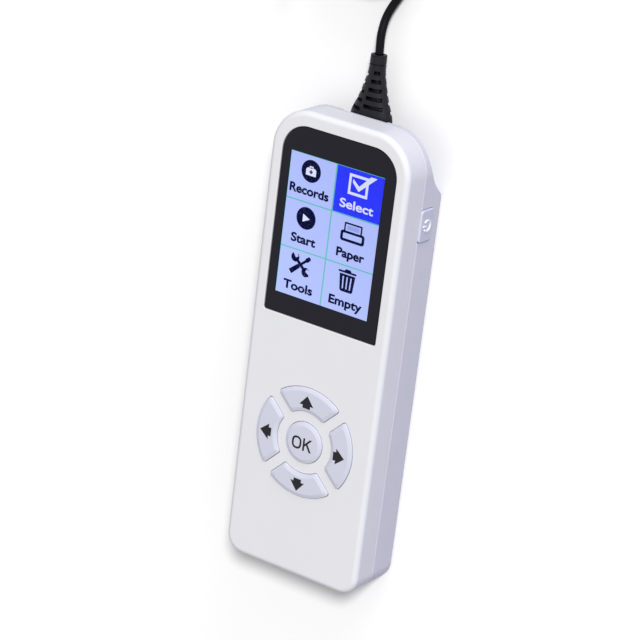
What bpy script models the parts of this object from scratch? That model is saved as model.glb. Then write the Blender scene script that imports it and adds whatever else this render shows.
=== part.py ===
"""Handheld newborn hearing screener, lying on its back, with its ear probe.

+X is the width, +Y runs along the length towards the cord, +Z is up, out of the front
face. The origin is under the middle of the housing, on the surface that it lies on.
All values are in metres.
"""

import math

import bmesh
import bpy
import numpy as np
from mathutils import Matrix, Vector

# Fits
GAP = 0.0003
OVERRUN = 0.0020
EMBED = 0.0006

# Housing
BODY_WIDTH = 0.0636
BODY_LENGTH = 0.1890
BODY_DEPTH = 0.0266
FRONT_DEPTH = 0.0122
TOP_CORNER_RADIUS = 0.0165
BOTTOM_CORNER_RADIUS = 0.0080
FRONT_EDGE_RADIUS = 0.0022
REAR_EDGE_RADIUS = 0.0015
WALL = 0.0022
LIP_HEIGHT = 0.0015
LIP_THICKNESS = 0.0009

# Thin top end of the rear shell, with the cove that leads up to it
NOSE_DEPTH = 0.0152
NOSE_LENGTH = 0.0045
COVE_RADIUS = 0.0220
RIDGE_RADIUS = 0.0032

# Display window
WINDOW_SIDE_MARGIN = 0.00555
WINDOW_TOP_MARGIN = 0.0063
WINDOW_TOP_RADIUS = 0.0110
WINDOW_BOTTOM_RADIUS = 0.0008
WINDOW_THICKNESS = 0.0013
WINDOW_SINK = 0.0001
TAPE_THICKNESS = 0.0004
TAPE_MARGIN = 0.0005
LEDGE_THICKNESS = 0.0012
LEDGE_MARGIN = 0.0015

# Display
LCD_SIDE_MARGIN = 0.00465
LCD_TOP_MARGIN = 0.0107
LCD_BOTTOM_MARGIN = 0.00825
LCD_OFFSET = 0.00075
GLASS_SIDE_BORDER = 0.0013
GLASS_TOP_BORDER = 0.0025
GLASS_BOTTOM_BORDER = 0.0045
TRAY_BORDER = 0.0021
TRAY_THICKNESS = 0.0022
RIBBON_WIDTH = 0.0180
RIBBON_THICKNESS = 0.0003
RIBBON_REACH = 0.0026
RIBBON_INLET = 0.0009
CONNECTOR_LENGTH = 0.0040
CONNECTOR_HEIGHT = 0.0014
CONNECTOR_MARGIN = 0.0010
FOAM_MARGIN = 0.0100

# Keys
KEY_RING_FROM_BOTTOM = 0.0570
KEY_WINDOW_SPACE = 0.0264
KEY_OUTER_RADIUS = 0.02275
KEY_INNER_RADIUS = 0.0132
KEY_STRIP = 0.0049
KEY_CORNER_RADIUS = 0.0012
OK_RADIUS = 0.0084
KEY_STAND = 0.0010
KEY_RIM = 0.0009
KEY_FLANGE_WIDTH = 0.0009
KEY_FLANGE_THICKNESS = 0.0009
KEY_POST_RADIUS = 0.0022
KEY_POST_LENGTH = 0.0008
KEY_STROKE = 0.0005

# Switches under the keys and behind the power button
SWITCH_SIDE = 0.0060
SWITCH_HEIGHT = 0.0034
SWITCH_FLOOR = 0.0008
PLUNGER_RADIUS = 0.0017
PLUNGER_STAND = 0.0008

# Power button
POWER_LENGTH = 0.0127
POWER_BACK_MARGIN = 0.00605
POWER_FROM_TOP = 0.0357
POWER_STAND = 0.0012
POWER_CORNER_RADIUS = 0.0012
POWER_RIM = 0.0004
POWER_FLANGE_WIDTH = 0.0012
POWER_FLANGE_THICKNESS = 0.0010
POWER_POST_LENGTH = 0.0005
POWER_SWITCH_LENGTH = 0.0037

# Main board
BOARD_THICKNESS = 0.0016
BOARD_MARGIN = 0.0010
BOARD_CORNER_RADIUS = 0.0040
BOARD_TOP_MARGIN = 0.0170
BOARD_BOTTOM_MARGIN = 0.0130

# Parts under the board: their sizes, and their places from the board's sides and below
# the probe socket
PROCESSOR_SIDE = 0.0140
PROCESSOR_HEIGHT = 0.0014
PROCESSOR_FROM_SIDE = 0.0156
PROCESSOR_DROP = 0.0050
RADIO_WIDTH = 0.0120
RADIO_LENGTH = 0.0160
RADIO_HEIGHT = 0.0022
RADIO_FROM_SIDE = 0.0156
RADIO_DROP = 0.03735
BEEPER_RADIUS = 0.0060
BEEPER_HEIGHT = 0.0050
BEEPER_HOLE_RADIUS = 0.0012
BEEPER_HOLE_DEPTH = 0.0025
BEEPER_FROM_SIDE = 0.0136
BEEPER_DROP = 0.0060
CELL_RADIUS = 0.0062
CELL_HEIGHT = 0.0032
CELL_FROM_SIDE = 0.0136
CELL_DROP = 0.03635

# Case screws and board screws
SCREW_EDGE = 0.0060
SCREW_TOP_ANGLE = 52
SCREW_BOTTOM_ANGLE = 45
SCREW_MIDDLE_SPACE = 0.01275
SCREW_RADIUS = 0.0011
SCREW_HEAD_RADIUS = 0.0022
SCREW_HEAD_HEIGHT = 0.0011
SCREW_SOCKET_RADIUS = 0.0010
SCREW_SOCKET_DEPTH = 0.0006
SOCKET_LOBE_SHARE = 0.75
LONG_SCREW = 0.0120
SHORT_SCREW = 0.0070
BOSS_WALL = 0.0018
COLUMN_WALL = 0.0009
LONG_SCREW_SEAT = 0.0069
SHORT_SCREW_SEAT = 0.0015
BOARD_SCREW = 0.0045
BOARD_SCREW_FROM_SIDE = 0.0118
BOARD_SCREW_BELOW_WINDOW = 0.00665
BOARD_SCREW_FROM_BOTTOM = 0.0245

# Battery, its bay and its cover
BATTERY_SIDE_MARGIN = 0.0128
BATTERY_TO_SOCKET = 0.0670
BATTERY_EDGE_RADIUS = 0.0030
BATTERY_FROM_BOTTOM = 0.0195
CONTACT_LENGTH = 0.0030
CONTACT_WIDTH = 0.0260
CONTACT_DROP = 0.0015
BAY_WALL = 0.0012
COVER_THICKNESS = 0.0018
COVER_MARGIN = 0.0012
COVER_SINK = 0.0003
COVER_END_MARGIN = 0.0010
COVER_TOP_OVERLAP = 0.0025
COVER_TONGUE = 0.0008
COVER_TONGUE_THICKNESS = 0.0009
COVER_GRIP_COUNT = 4
COVER_GRIP_PITCH = 0.0025
COVER_GRIP_WIDTH = 0.0010
COVER_GRIP_DEPTH = 0.0005
COVER_GRIP_LENGTH = 0.0160
COVER_GRIP_FROM_END = 0.0100

# Charging contacts in the bottom end
CHARGE_RADIUS = 0.0020
CHARGE_LENGTH = 0.0060
CHARGE_SPACING = 0.0140
CHARGE_SINK = 0.0004
CHARGE_BLOCK_WIDTH = 0.0240
CHARGE_BLOCK_LENGTH = 0.0050

# Probe socket, plug and boot, which lie behind the thin top end and a little into it
PLUG_WIDTH = 0.0196
PLUG_BACK_MARGIN = 0.0028
PLUG_INSET = 0.0006
PLUG_CLEARANCE = 0.0005
PLUG_FROM_TOP = 0.0286
PLUG_LENGTH = 0.0165
PLUG_NOSE_STEP = 0.0014
PLUG_NOSE_LENGTH = 0.0070
SOCKET_WALL = 0.0016
SOCKET_WIDTH = 0.0160
SOCKET_LENGTH = 0.0100
SOCKET_FLOOR_SPACE = 0.0007
BOOT_LENGTH = 0.0353
COLLAR_RADIUS = 0.00315
BOOT_STATION_SHARES = (
    (0.0, 1.0, 1.0),
    (0.20, 0.98, 1.0),
    (0.326, 0.895, 1.0),
    (0.40, 0.74, 0.92),
    (0.479, 0.549, 0.80),
    (0.584, 0.35, 0.59),
    (0.669, 0.232, 0.38),
    (0.751, 0.108, 0.17),
    (0.82, 0.03, 0.05),
    (1.0, 0.0, 0.0),
)

# Probe cord: chosen points of its two free stretches, and the coil between them
CORD_DIAMETER = 0.0033
CORD_POINT_SPACING = 0.0080
LEAD_ROUTE = (
    (0.0000, 0.1186, 0.00740),
    (-0.0002, 0.1219, 0.00735),
    (-0.0005, 0.1253, 0.00700),
    (-0.0006, 0.1287, 0.00620),
    (-0.0004, 0.1321, 0.00520),
    (0.0006, 0.1358, 0.00420),
    (0.0023, 0.1395, 0.00340),
    (0.0044, 0.1433, 0.00290),
    (0.0068, 0.1472, 0.00270),
)
COIL_START = (0.0118, 0.1564)
COIL_START_ANGLE = -35
COIL_INNER_RADIUS = 0.0144
COIL_OUTER_RADIUS = 0.0224
COIL_LAYERS = 4
COIL_LAYER_PITCH = 0.0038
COIL_STEPS_A_TURN = 24
COIL_STEPS = 197
COIL_LIFT = 0.0011
TAIL_ROUTE = (
    (0.0036, 0.1920, 0.01410),
    (0.0002, 0.1958, 0.01340),
    (-0.0040, 0.1996, 0.01160),
    (-0.0092, 0.2030, 0.00900),
    (-0.0152, 0.2056, 0.00640),
    (-0.0218, 0.2070, 0.00430),
    (-0.0284, 0.2066, 0.00300),
    (-0.0346, 0.2044, 0.00260),
    (-0.0399, 0.2004, 0.00300),
    (-0.0436, 0.1950, 0.00400),
    (-0.0455, 0.1894, 0.00500),
)
TIE_ANGLE = 150
TIE_WIDTH = 0.0080
TIE_THICKNESS = 0.0007
TIE_CORNER_RADIUS = 0.0020

# Ear probe on the far end of the cord
PROBE_X = -0.0460
PROBE_Y = 0.1830
PROBE_RADIUS = 0.0055
PROBE_LENGTH = 0.0220
PROBE_BODY_SHARES = ((0.0, 0.62), (0.08, 0.85), (0.22, 1.0), (0.80, 1.0), (1.0, 0.86))
PROBE_BOOT_LENGTH = 0.0090
PROBE_BOOT_SHARES = ((0.0, 0.42), (0.5, 0.46), (1.0, 0.58))
NOSE_CONE_LENGTH = 0.0060
NOSE_CONE_SHARES = ((0.0, 0.82), (0.35, 0.72), (1.0, 0.42))
NOZZLE_RADIUS = 0.0016
NOZZLE_LENGTH = 0.0070
NOZZLE_BORE_RADIUS = 0.0008
TIP_RADIUS = 0.0042
TIP_LENGTH = 0.0090
TIP_STEM_RADIUS = 0.0028
TIP_CAP_SHARES = ((0.0, 0.0), (0.28, 0.0), (0.30, 1.0), (0.55, 0.90), (0.80, 0.62), (1.0, 0.10))

# Smoothness: points on each quarter turn or whole turn
TOP_CORNER_STEPS = 6
SMALL_CORNER_STEPS = 3
EDGE_STEPS = 3
KEY_ARC_STEPS = 10
CIRCLE_STEPS = 16
KEY_CIRCLE_STEPS = 24
SCREW_STEPS = 12
COVE_STEPS = 8
CURVE_STEPS = 12
SMOOTH_ANGLE = 35

# Planes that follow from the sizes above, from the back to the front
half_width = BODY_WIDTH / 2
half_length = BODY_LENGTH / 2
parting_z = BODY_DEPTH - FRONT_DEPTH
rear_top = parting_z - GAP / 2
front_bottom = parting_z + GAP / 2
lip_top = rear_top + LIP_HEIGHT
ceiling = BODY_DEPTH - WALL
nose_z = BODY_DEPTH - NOSE_DEPTH
power_height = rear_top - POWER_BACK_MARGIN
power_z = rear_top - power_height / 2
plug_thickness = nose_z + PLUG_INSET - PLUG_BACK_MARGIN
plug_z = PLUG_BACK_MARGIN + plug_thickness / 2
plug_nose_radius = plug_thickness / 2 - PLUG_NOSE_STEP

# Display stack
window_top_z = BODY_DEPTH - WINDOW_SINK
window_bottom_z = window_top_z - WINDOW_THICKNESS
tape_top_z = window_bottom_z - GAP
tape_bottom_z = tape_top_z - TAPE_THICKNESS
ledge_top_z = tape_bottom_z - GAP
ledge_bottom_z = ledge_top_z - LEDGE_THICKNESS
tray_top_z = ledge_bottom_z - GAP
tray_bottom_z = tray_top_z - TRAY_THICKNESS

# Key stack, down to the board
flange_top_z = ceiling - GAP
flange_bottom_z = flange_top_z - KEY_FLANGE_THICKNESS
post_bottom_z = flange_bottom_z - KEY_POST_LENGTH
plunger_top_z = post_bottom_z - GAP
switch_top_z = plunger_top_z - PLUNGER_STAND
switch_bottom_z = switch_top_z - SWITCH_HEIGHT
board_top_z = switch_bottom_z - GAP
board_bottom_z = board_top_z - BOARD_THICKNESS

# Battery stack
cover_bottom_z = COVER_SINK
cover_top_z = cover_bottom_z + COVER_THICKNESS
recess_top_z = cover_top_z + GAP
bay_floor_z = recess_top_z + BAY_WALL
bay_top_z = board_bottom_z - SCREW_HEAD_HEIGHT - 2 * GAP
bay_ceiling_z = bay_top_z - BAY_WALL
charge_z = (bay_floor_z + rear_top) / 2

# Places along the length
key_ring_y = -half_length + KEY_RING_FROM_BOTTOM
key_ring_top_y = key_ring_y + KEY_OUTER_RADIUS
key_middle_radius = (KEY_OUTER_RADIUS + KEY_INNER_RADIUS) / 2
window_top_y = half_length - WINDOW_TOP_MARGIN
window_bottom_y = key_ring_top_y + KEY_WINDOW_SPACE
power_y = half_length - POWER_FROM_TOP
notch_y = half_length - PLUG_FROM_TOP
socket_high_y = notch_y - SOCKET_WALL - GAP
socket_low_y = socket_high_y - SOCKET_LENGTH
ledge_y = window_bottom_y - GAP - LEDGE_MARGIN

# Window, display glass and tray, as (low x, high x, low y, high y)
window_half = half_width - WINDOW_SIDE_MARGIN
window_edges = (-window_half, window_half, window_bottom_y, window_top_y)
window_radii = (WINDOW_TOP_RADIUS, WINDOW_TOP_RADIUS, WINDOW_BOTTOM_RADIUS, WINDOW_BOTTOM_RADIUS)
glass_edges = (
    window_edges[0] + LCD_SIDE_MARGIN - LCD_OFFSET - GLASS_SIDE_BORDER,
    window_edges[1] - LCD_SIDE_MARGIN - LCD_OFFSET + GLASS_SIDE_BORDER,
    window_edges[2] + LCD_BOTTOM_MARGIN - GLASS_BOTTOM_BORDER,
    window_edges[3] - LCD_TOP_MARGIN + GLASS_TOP_BORDER,
)


def grown(edges, by):
    """Edges of a rectangle, moved outwards."""
    return edges[0] - by, edges[1] + by, edges[2] - by, edges[3] + by


tray_edges = grown(glass_edges, TRAY_BORDER)

# Battery and its bay, as edges
battery_half = half_width - BATTERY_SIDE_MARGIN
battery_edges = (
    -battery_half,
    battery_half,
    -half_length + BATTERY_FROM_BOTTOM,
    socket_low_y - BATTERY_TO_SOCKET,
)
contact_low_y = battery_edges[3] + GAP
bay_edges = (
    battery_edges[0] - GAP,
    battery_edges[1] + GAP,
    battery_edges[2] - GAP,
    contact_low_y + CONTACT_LENGTH + GAP,
)
cover_half = bay_edges[1] + COVER_MARGIN
cover_low_y = -half_length + COVER_END_MARGIN
cover_high_y = bay_edges[3] + COVER_TOP_OVERLAP


# Materials

def srgb_to_linear(value):
    value /= 255
    return value / 12.92 if value <= 0.04045 else ((value + 0.055) / 1.055) ** 2.4


def make_material(name, colour, roughness, metallic=0.0):
    material = bpy.data.materials.new(name)
    material.use_nodes = True
    shader = material.node_tree.nodes["Principled BSDF"]
    rgb = [srgb_to_linear(int(colour[k : k + 2], 16)) for k in (1, 3, 5)]
    shader.inputs["Base Color"].default_value = (*rgb, 1.0)
    shader.inputs["Roughness"].default_value = roughness
    shader.inputs["Metallic"].default_value = metallic
    return material


# Shapes

def rounded_rectangle(edges, radii, inset=0.0, steps=SMALL_CORNER_STEPS):
    """Points (x, y), counter-clockwise, of a rectangle moved inwards by inset. Its four
    radii run counter-clockwise from the corner at high x and high y."""
    low_x, high_x, low_y, high_y = edges
    ways = ((1, 1), (-1, 1), (-1, -1), (1, -1))
    points = []
    for quarter, ((way_x, way_y), radius) in enumerate(zip(ways, radii)):
        centre_x = (high_x if way_x > 0 else low_x) - way_x * radius
        centre_y = (high_y if way_y > 0 else low_y) - way_y * radius
        reach = radius - inset
        for step in range(steps + 1):
            angle = (quarter + step / steps) * math.pi / 2
            points.append((centre_x + reach * math.cos(angle), centre_y + reach * math.sin(angle)))
    return points


def body_outline(inset=0.0):
    """The housing's outline from the front, moved inwards by inset."""
    edges = (-half_width, half_width, -half_length, half_length)
    top = TOP_CORNER_RADIUS
    bottom = BOTTOM_CORNER_RADIUS
    return rounded_rectangle(edges, (top, top, bottom, bottom), inset, TOP_CORNER_STEPS)


def circle(radius, steps=CIRCLE_STEPS, centre=(0, 0)):
    turn = [2 * math.pi * step / steps for step in range(steps)]
    return [(centre[0] + radius * math.cos(a), centre[1] + radius * math.sin(a)) for a in turn]


def ellipse(half_x, half_y, steps=CIRCLE_STEPS):
    turn = [2 * math.pi * step / steps for step in range(steps)]
    return [(half_x * math.cos(a), half_y * math.sin(a)) for a in turn]


def loft(rings, closed=False):
    """A solid through rings of equally many 3-D points, each ring counter-clockwise
    seen from the last ring's side. A closed loft joins its last ring to its first."""
    solid = bmesh.new()
    rows = [[solid.verts.new(point) for point in ring] for ring in rings]
    following = rows[1:] + rows[:1] if closed else rows[1:]
    for low, high in zip(rows, following):
        for i in range(len(low)):
            j = (i + 1) % len(low)
            solid.faces.new((low[i], low[j], high[j], high[i]))
    if not closed:
        solid.faces.new(rows[0][::-1])
        solid.faces.new(rows[-1])
    return solid


def stack(levels):
    """A solid through flat outlines at rising heights: (outline, z) pairs."""
    return loft([[(x, y, z) for x, y in outline] for outline, z in levels])


def prism(outline, low_z, high_z):
    return stack([(outline, low_z), (outline, high_z)])


def box(edges, low_z, high_z):
    low_x, high_x, low_y, high_y = edges
    outline = [(low_x, low_y), (high_x, low_y), (high_x, high_y), (low_x, high_y)]
    return prism(outline, low_z, high_z)


def bar(profile, low_x, high_x):
    """A profile of (y, z) points, counter-clockwise seen from +X, drawn out along X."""
    return loft([[(x, y, z) for y, z in profile] for x in (low_x, high_x)])


def turned(profile, steps=CIRCLE_STEPS, closed=False):
    """A round solid about Z from (radius, z) pairs, lowest first. A closed profile
    runs up its outer side and down its bore."""
    return loft([[(x, y, z) for x, y in circle(radius, steps)] for radius, z in profile], closed)


def add(name, solid, material, place=(0, 0, 0), rotation=None):
    """One named object from a solid, shaded smooth between its edges."""
    bmesh.ops.recalc_face_normals(solid, faces=solid.faces)
    mesh = bpy.data.meshes.new(name)
    solid.to_mesh(mesh)
    solid.free()
    mesh.shade_smooth()
    mesh.set_sharp_from_angle(angle=math.radians(SMOOTH_ANGLE))
    if material:
        mesh.materials.append(material)
    piece = bpy.data.objects.new(name, mesh)
    turn = rotation.to_4x4() if rotation else Matrix.Identity(4)
    piece.matrix_world = Matrix.Translation(place) @ turn
    bpy.context.scene.collection.objects.link(piece)
    return piece


def apply(piece, solid, operation, place=(0, 0, 0), rotation=None):
    """Cuts a solid from a piece, or joins it on, with a Boolean."""
    tool = add(f"{piece.name}_tool", solid, None, place, rotation)
    tool.hide_render = True
    tool.display_type = "WIRE"
    modifier = piece.modifiers.new(tool.name, "BOOLEAN")
    modifier.operation = operation
    modifier.solver = "EXACT"
    modifier.object = tool
    return tool


def cut(piece, solid, place=(0, 0, 0), rotation=None):
    return apply(piece, solid, "DIFFERENCE", place, rotation)


def join(piece, solid, place=(0, 0, 0), rotation=None):
    return apply(piece, solid, "UNION", place, rotation)


# Turns that lay a solid's own +Z along the row's +X, +Y or -Y
ALONG_X = Matrix.Rotation(math.pi / 2, 3, "Y")
ALONG_Y = Matrix.Rotation(-math.pi / 2, 3, "X")
AGAINST_Y = Matrix.Rotation(math.pi / 2, 3, "X")


# Places of repeated pieces

def corner_place(way_x, way_y, radius, angle):
    """The place of a screw that lies inside a rounded corner of the housing."""
    reach = radius - SCREW_EDGE
    x = half_width - radius + reach * math.cos(math.radians(angle))
    y = half_length - radius + reach * math.sin(math.radians(angle))
    return way_x * x, way_y * y


top_screws = [corner_place(way, 1, TOP_CORNER_RADIUS, SCREW_TOP_ANGLE) for way in (-1, 1)]
bottom_screws = [corner_place(way, -1, BOTTOM_CORNER_RADIUS, SCREW_BOTTOM_ANGLE) for way in (-1, 1)]
middle_screws = [(way * (half_width - SCREW_EDGE), key_ring_top_y + SCREW_MIDDLE_SPACE) for way in (-1, 1)]
case_screws = [(place, nose_z + SHORT_SCREW_SEAT, SHORT_SCREW) for place in top_screws]
case_screws += [(place, LONG_SCREW_SEAT, LONG_SCREW) for place in middle_screws + bottom_screws]
board_screw_levels = (window_bottom_y - BOARD_SCREW_BELOW_WINDOW, -half_length + BOARD_SCREW_FROM_BOTTOM)
board_screw_x = half_width - BOARD_SCREW_FROM_SIDE
board_screws = [(way * board_screw_x, y) for y in board_screw_levels for way in (-1, 1)]
boss_radius = SCREW_RADIUS + GAP + BOSS_WALL
bore_radius = SCREW_RADIUS + GAP
head_bore_radius = SCREW_HEAD_RADIUS + GAP
column_radius = head_bore_radius + COLUMN_WALL
arrow_keys = (("key_right", 0), ("key_up", 90), ("key_left", 180), ("key_down", 270))
key_places = {"key_ok": (0.0, key_ring_y)}
for key_name, turn in arrow_keys:
    key_places[key_name] = (
        key_middle_radius * math.cos(math.radians(turn)),
        key_ring_y + key_middle_radius * math.sin(math.radians(turn)),
    )


def sector_outline(inset):
    """The outline of the arrow key on the right, about the ring's middle: a sector between
    two diagonal strips, moved inwards by inset, with its four corners rounded."""
    outer = KEY_OUTER_RADIUS - inset - KEY_CORNER_RADIUS
    inner = KEY_INNER_RADIUS + inset + KEY_CORNER_RADIUS
    side = KEY_STRIP / 2 + inset + KEY_CORNER_RADIUS
    outer_half = math.pi / 4 - math.asin(side / outer)
    inner_half = math.pi / 4 - math.asin(side / inner)

    def corner(radius, angle, start, end):
        x, y = radius * math.cos(angle), radius * math.sin(angle)
        turn = np.linspace(start, end, SMALL_CORNER_STEPS + 1)
        reach = KEY_CORNER_RADIUS
        return [(x + reach * math.cos(a), y + reach * math.sin(a)) for a in turn]

    def ring_arc(radius, start, end):
        turn = np.linspace(start, end, KEY_ARC_STEPS + 1)[1:-1]
        return [(radius * math.cos(a), radius * math.sin(a)) for a in turn]

    points = corner(outer, -outer_half, -3 * math.pi / 4, -outer_half)
    points += ring_arc(outer + KEY_CORNER_RADIUS, -outer_half, outer_half)
    points += corner(outer, outer_half, outer_half, 3 * math.pi / 4)
    points += corner(inner, inner_half, 3 * math.pi / 4, math.pi + inner_half)
    points += ring_arc(inner - KEY_CORNER_RADIUS, inner_half, -inner_half)
    points += corner(inner, -inner_half, math.pi - inner_half, 5 * math.pi / 4)
    return points


def ok_outline(inset):
    return circle(OK_RADIUS - inset, KEY_CIRCLE_STEPS)


def power_outline(inset):
    """The power button's outline about its middle, with its height along X."""
    edges = (-power_height / 2, power_height / 2, -POWER_LENGTH / 2, POWER_LENGTH / 2)
    return rounded_rectangle(edges, (POWER_CORNER_RADIUS,) * 4, inset)


def cover_outline(inset, low_y=cover_low_y):
    edges = (-cover_half, cover_half, low_y, cover_high_y)
    return rounded_rectangle(edges, (COVER_MARGIN,) * 4, inset)


def cove_profile(offset=0.0):
    """The space under the thin top end, in (y, z): a hollow arc that meets the back in a
    rounded ridge. An offset moves its curve into the shell."""
    arc_y = half_length - NOSE_LENGTH
    arc_z = nose_z - COVE_RADIUS
    rise = RIDGE_RADIUS - arc_z
    ridge_y = arc_y - math.sqrt((COVE_RADIUS + RIDGE_RADIUS) ** 2 - rise**2)
    meet = math.atan2(rise, ridge_y - arc_y)
    end_y = half_length + OVERRUN
    points = [(ridge_y, -OVERRUN), (end_y, -OVERRUN), (end_y, nose_z + offset)]
    for angle in np.linspace(math.pi / 2, meet, COVE_STEPS + 1):
        reach = COVE_RADIUS + offset
        points.append((arc_y + reach * math.cos(angle), arc_z + reach * math.sin(angle)))
    for angle in np.linspace(meet - math.pi, -math.pi / 2, SMALL_CORNER_STEPS + 1)[1:]:
        reach = RIDGE_RADIUS - offset
        points.append((ridge_y + reach * math.cos(angle), RIDGE_RADIUS + reach * math.sin(angle)))
    return points


def edge_levels(radius, edge_z, way):
    """(inset, z) pairs of a rounded edge that ends at edge_z, upwards for way 1."""
    angles = np.linspace(0, math.pi / 2, EDGE_STEPS + 1)
    levels = [(radius * (1 - math.cos(a)), edge_z - way * radius * (1 - math.sin(a))) for a in angles]
    return levels[::way]


def band(outline_of, outer_inset, inner_inset, low_z, high_z):
    """A closed band between two insets of one outline."""
    corners = ((outer_inset, low_z), (outer_inset, high_z), (inner_inset, high_z), (inner_inset, low_z))
    return loft([[(x, y, z) for x, y in outline_of(inset)] for inset, z in corners], closed=True)


# Housing

def make_front_shell(material):
    levels = [(body_outline(), front_bottom)]
    levels += [(body_outline(inset), z) for inset, z in edge_levels(FRONT_EDGE_RADIUS, BODY_DEPTH, 1)]
    shell = add("front_shell", stack(levels), material)

    cut(shell, prism(body_outline(WALL), front_bottom - OVERRUN, ledge_bottom_z))
    key_half = (-half_width, half_width, -half_length, ledge_y + WALL)
    key_radii = (2 * WALL, 2 * WALL, BOTTOM_CORNER_RADIUS, BOTTOM_CORNER_RADIUS)
    cut(shell, prism(rounded_rectangle(key_half, key_radii, WALL), ledge_bottom_z - EMBED, ceiling))

    recess = rounded_rectangle(window_edges, window_radii, -GAP, TOP_CORNER_STEPS)
    cut(shell, prism(recess, ledge_top_z, BODY_DEPTH + OVERRUN))
    cut(shell, box(grown(glass_edges, TAPE_MARGIN), ledge_bottom_z - OVERRUN, ledge_top_z + EMBED))

    middle = (0, key_ring_y, 0)
    for _, turn in arrow_keys:
        hole = prism(sector_outline(-GAP), ceiling - OVERRUN, BODY_DEPTH + OVERRUN)
        cut(shell, hole, middle, Matrix.Rotation(math.radians(turn), 3, "Z"))
    cut(shell, prism(ok_outline(-GAP), ceiling - OVERRUN, BODY_DEPTH + OVERRUN), middle)

    for (x, y), seat_z, length in case_screws:
        top_z = ledge_bottom_z if y > ledge_y else ceiling
        join(shell, prism(circle(boss_radius), front_bottom, top_z + EMBED), (x, y, 0))
        tip_z = seat_z - GAP + length
        cut(shell, prism(circle(bore_radius), front_bottom - OVERRUN, tip_z + GAP), (x, y, 0))
    for x, y in board_screws:
        join(shell, prism(circle(boss_radius), board_top_z + GAP, ceiling + EMBED), (x, y, 0))
        tip_z = board_bottom_z - GAP + BOARD_SCREW
        cut(shell, prism(circle(bore_radius), board_top_z - GAP, tip_z + GAP), (x, y, 0))

    rebate = band(body_outline, WALL - LIP_THICKNESS - GAP, WALL + GAP, front_bottom - OVERRUN, lip_top + GAP)
    cut(shell, rebate)
    return shell


def make_rear_shell(material):
    levels = [(body_outline(inset), z) for inset, z in edge_levels(REAR_EDGE_RADIUS, 0, -1)]
    levels += [(body_outline(), rear_top)]
    shell = add("rear_shell", stack(levels), material)
    join(shell, prism(body_outline(WALL - LIP_THICKNESS), rear_top - WALL, lip_top))
    cavity = cut(shell, prism(body_outline(WALL), WALL, lip_top + OVERRUN))
    across = half_width + OVERRUN
    cut(cavity, bar(cove_profile(WALL), -across, across))

    inside_z = WALL - EMBED
    join(shell, box(grown(bay_edges, BAY_WALL), inside_z, bay_top_z))
    frame_half = cover_half + COVER_TONGUE + GAP + BAY_WALL
    frame_low_y = -half_length + WALL - EMBED
    frame_high_y = cover_high_y + COVER_TONGUE + GAP + BAY_WALL
    join(shell, box((-frame_half, frame_half, frame_low_y, frame_high_y), inside_z, bay_floor_z))

    notch_half = PLUG_WIDTH / 2 + PLUG_CLEARANCE
    notch_z = plug_z + plug_thickness / 2 + PLUG_CLEARANCE
    walled_half = notch_half + SOCKET_WALL
    walled = (-walled_half, walled_half, notch_y - SOCKET_WALL, half_length - WALL + EMBED)
    join(shell, box(walled, inside_z, notch_z + SOCKET_WALL))
    for (x, y), _, _ in case_screws:
        join(shell, prism(circle(column_radius), EMBED, rear_top), (x, y, 0))

    cut(shell, bar(cove_profile(), -across, across))
    cut(shell, box((-notch_half, notch_half, notch_y, half_length + OVERRUN), -OVERRUN, notch_z))
    nose_hole = prism(circle(plug_nose_radius + GAP), -SOCKET_WALL - OVERRUN, OVERRUN)
    cut(shell, nose_hole, (0, notch_y, plug_z), ALONG_Y)

    cut(shell, box(bay_edges, -OVERRUN, bay_ceiling_z))
    past_end = -half_length - OVERRUN
    cut(shell, prism(cover_outline(-GAP, past_end), -OVERRUN, recess_top_z))
    tongue_z = cover_top_z - COVER_TONGUE_THICKNESS - GAP
    cut(shell, prism(cover_outline(-GAP - COVER_TONGUE, past_end), tongue_z, recess_top_z))

    for (x, y), seat_z, _ in case_screws:
        cut(shell, prism(circle(bore_radius), seat_z - EMBED, rear_top + OVERRUN), (x, y, 0))
        cut(shell, prism(circle(head_bore_radius), -OVERRUN, seat_z), (x, y, 0))
    wall_x = half_width - WALL - OVERRUN
    power_hole = power_outline(-GAP)
    cut(shell, prism(power_hole, wall_x, half_width + OVERRUN), (0, power_y, power_z), ALONG_X)
    above = (wall_x, half_width + OVERRUN, power_y - POWER_LENGTH / 2 - GAP, power_y + POWER_LENGTH / 2 + GAP)
    cut(shell, box(above, power_z, lip_top + OVERRUN))
    for way in (-1, 1):
        hole = prism(circle(CHARGE_RADIUS + GAP), -OVERRUN, WALL + OVERRUN)
        cut(shell, hole, (way * CHARGE_SPACING / 2, -half_length, charge_z), ALONG_Y)
    return shell


def screw_solid(length):
    """A screw standing on its head, with a six-lobed socket in the head."""
    lobes = circle(SCREW_SOCKET_RADIUS, SCREW_STEPS)
    shares = (1, SOCKET_LOBE_SHARE) * (SCREW_STEPS // 2)
    lobes = [(x * share, y * share) for (x, y), share in zip(lobes, shares)]
    head = circle(SCREW_HEAD_RADIUS, SCREW_STEPS)
    shank = circle(SCREW_RADIUS, SCREW_STEPS)
    levels = ((lobes, SCREW_SOCKET_DEPTH), (lobes, 0), (head, 0), (head, SCREW_HEAD_HEIGHT))
    levels += ((shank, SCREW_HEAD_HEIGHT), (shank, SCREW_HEAD_HEIGHT + length))
    return stack(levels)


def make_screws(material):
    for number, ((x, y), seat_z, length) in enumerate(case_screws, 1):
        place = (x, y, seat_z - GAP - SCREW_HEAD_HEIGHT)
        add(f"case_screw_{number}", screw_solid(length), material, place)
    for number, (x, y) in enumerate(board_screws, 1):
        place = (x, y, board_bottom_z - GAP - SCREW_HEAD_HEIGHT)
        add(f"board_screw_{number}", screw_solid(BOARD_SCREW), material, place)


# Display

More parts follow.
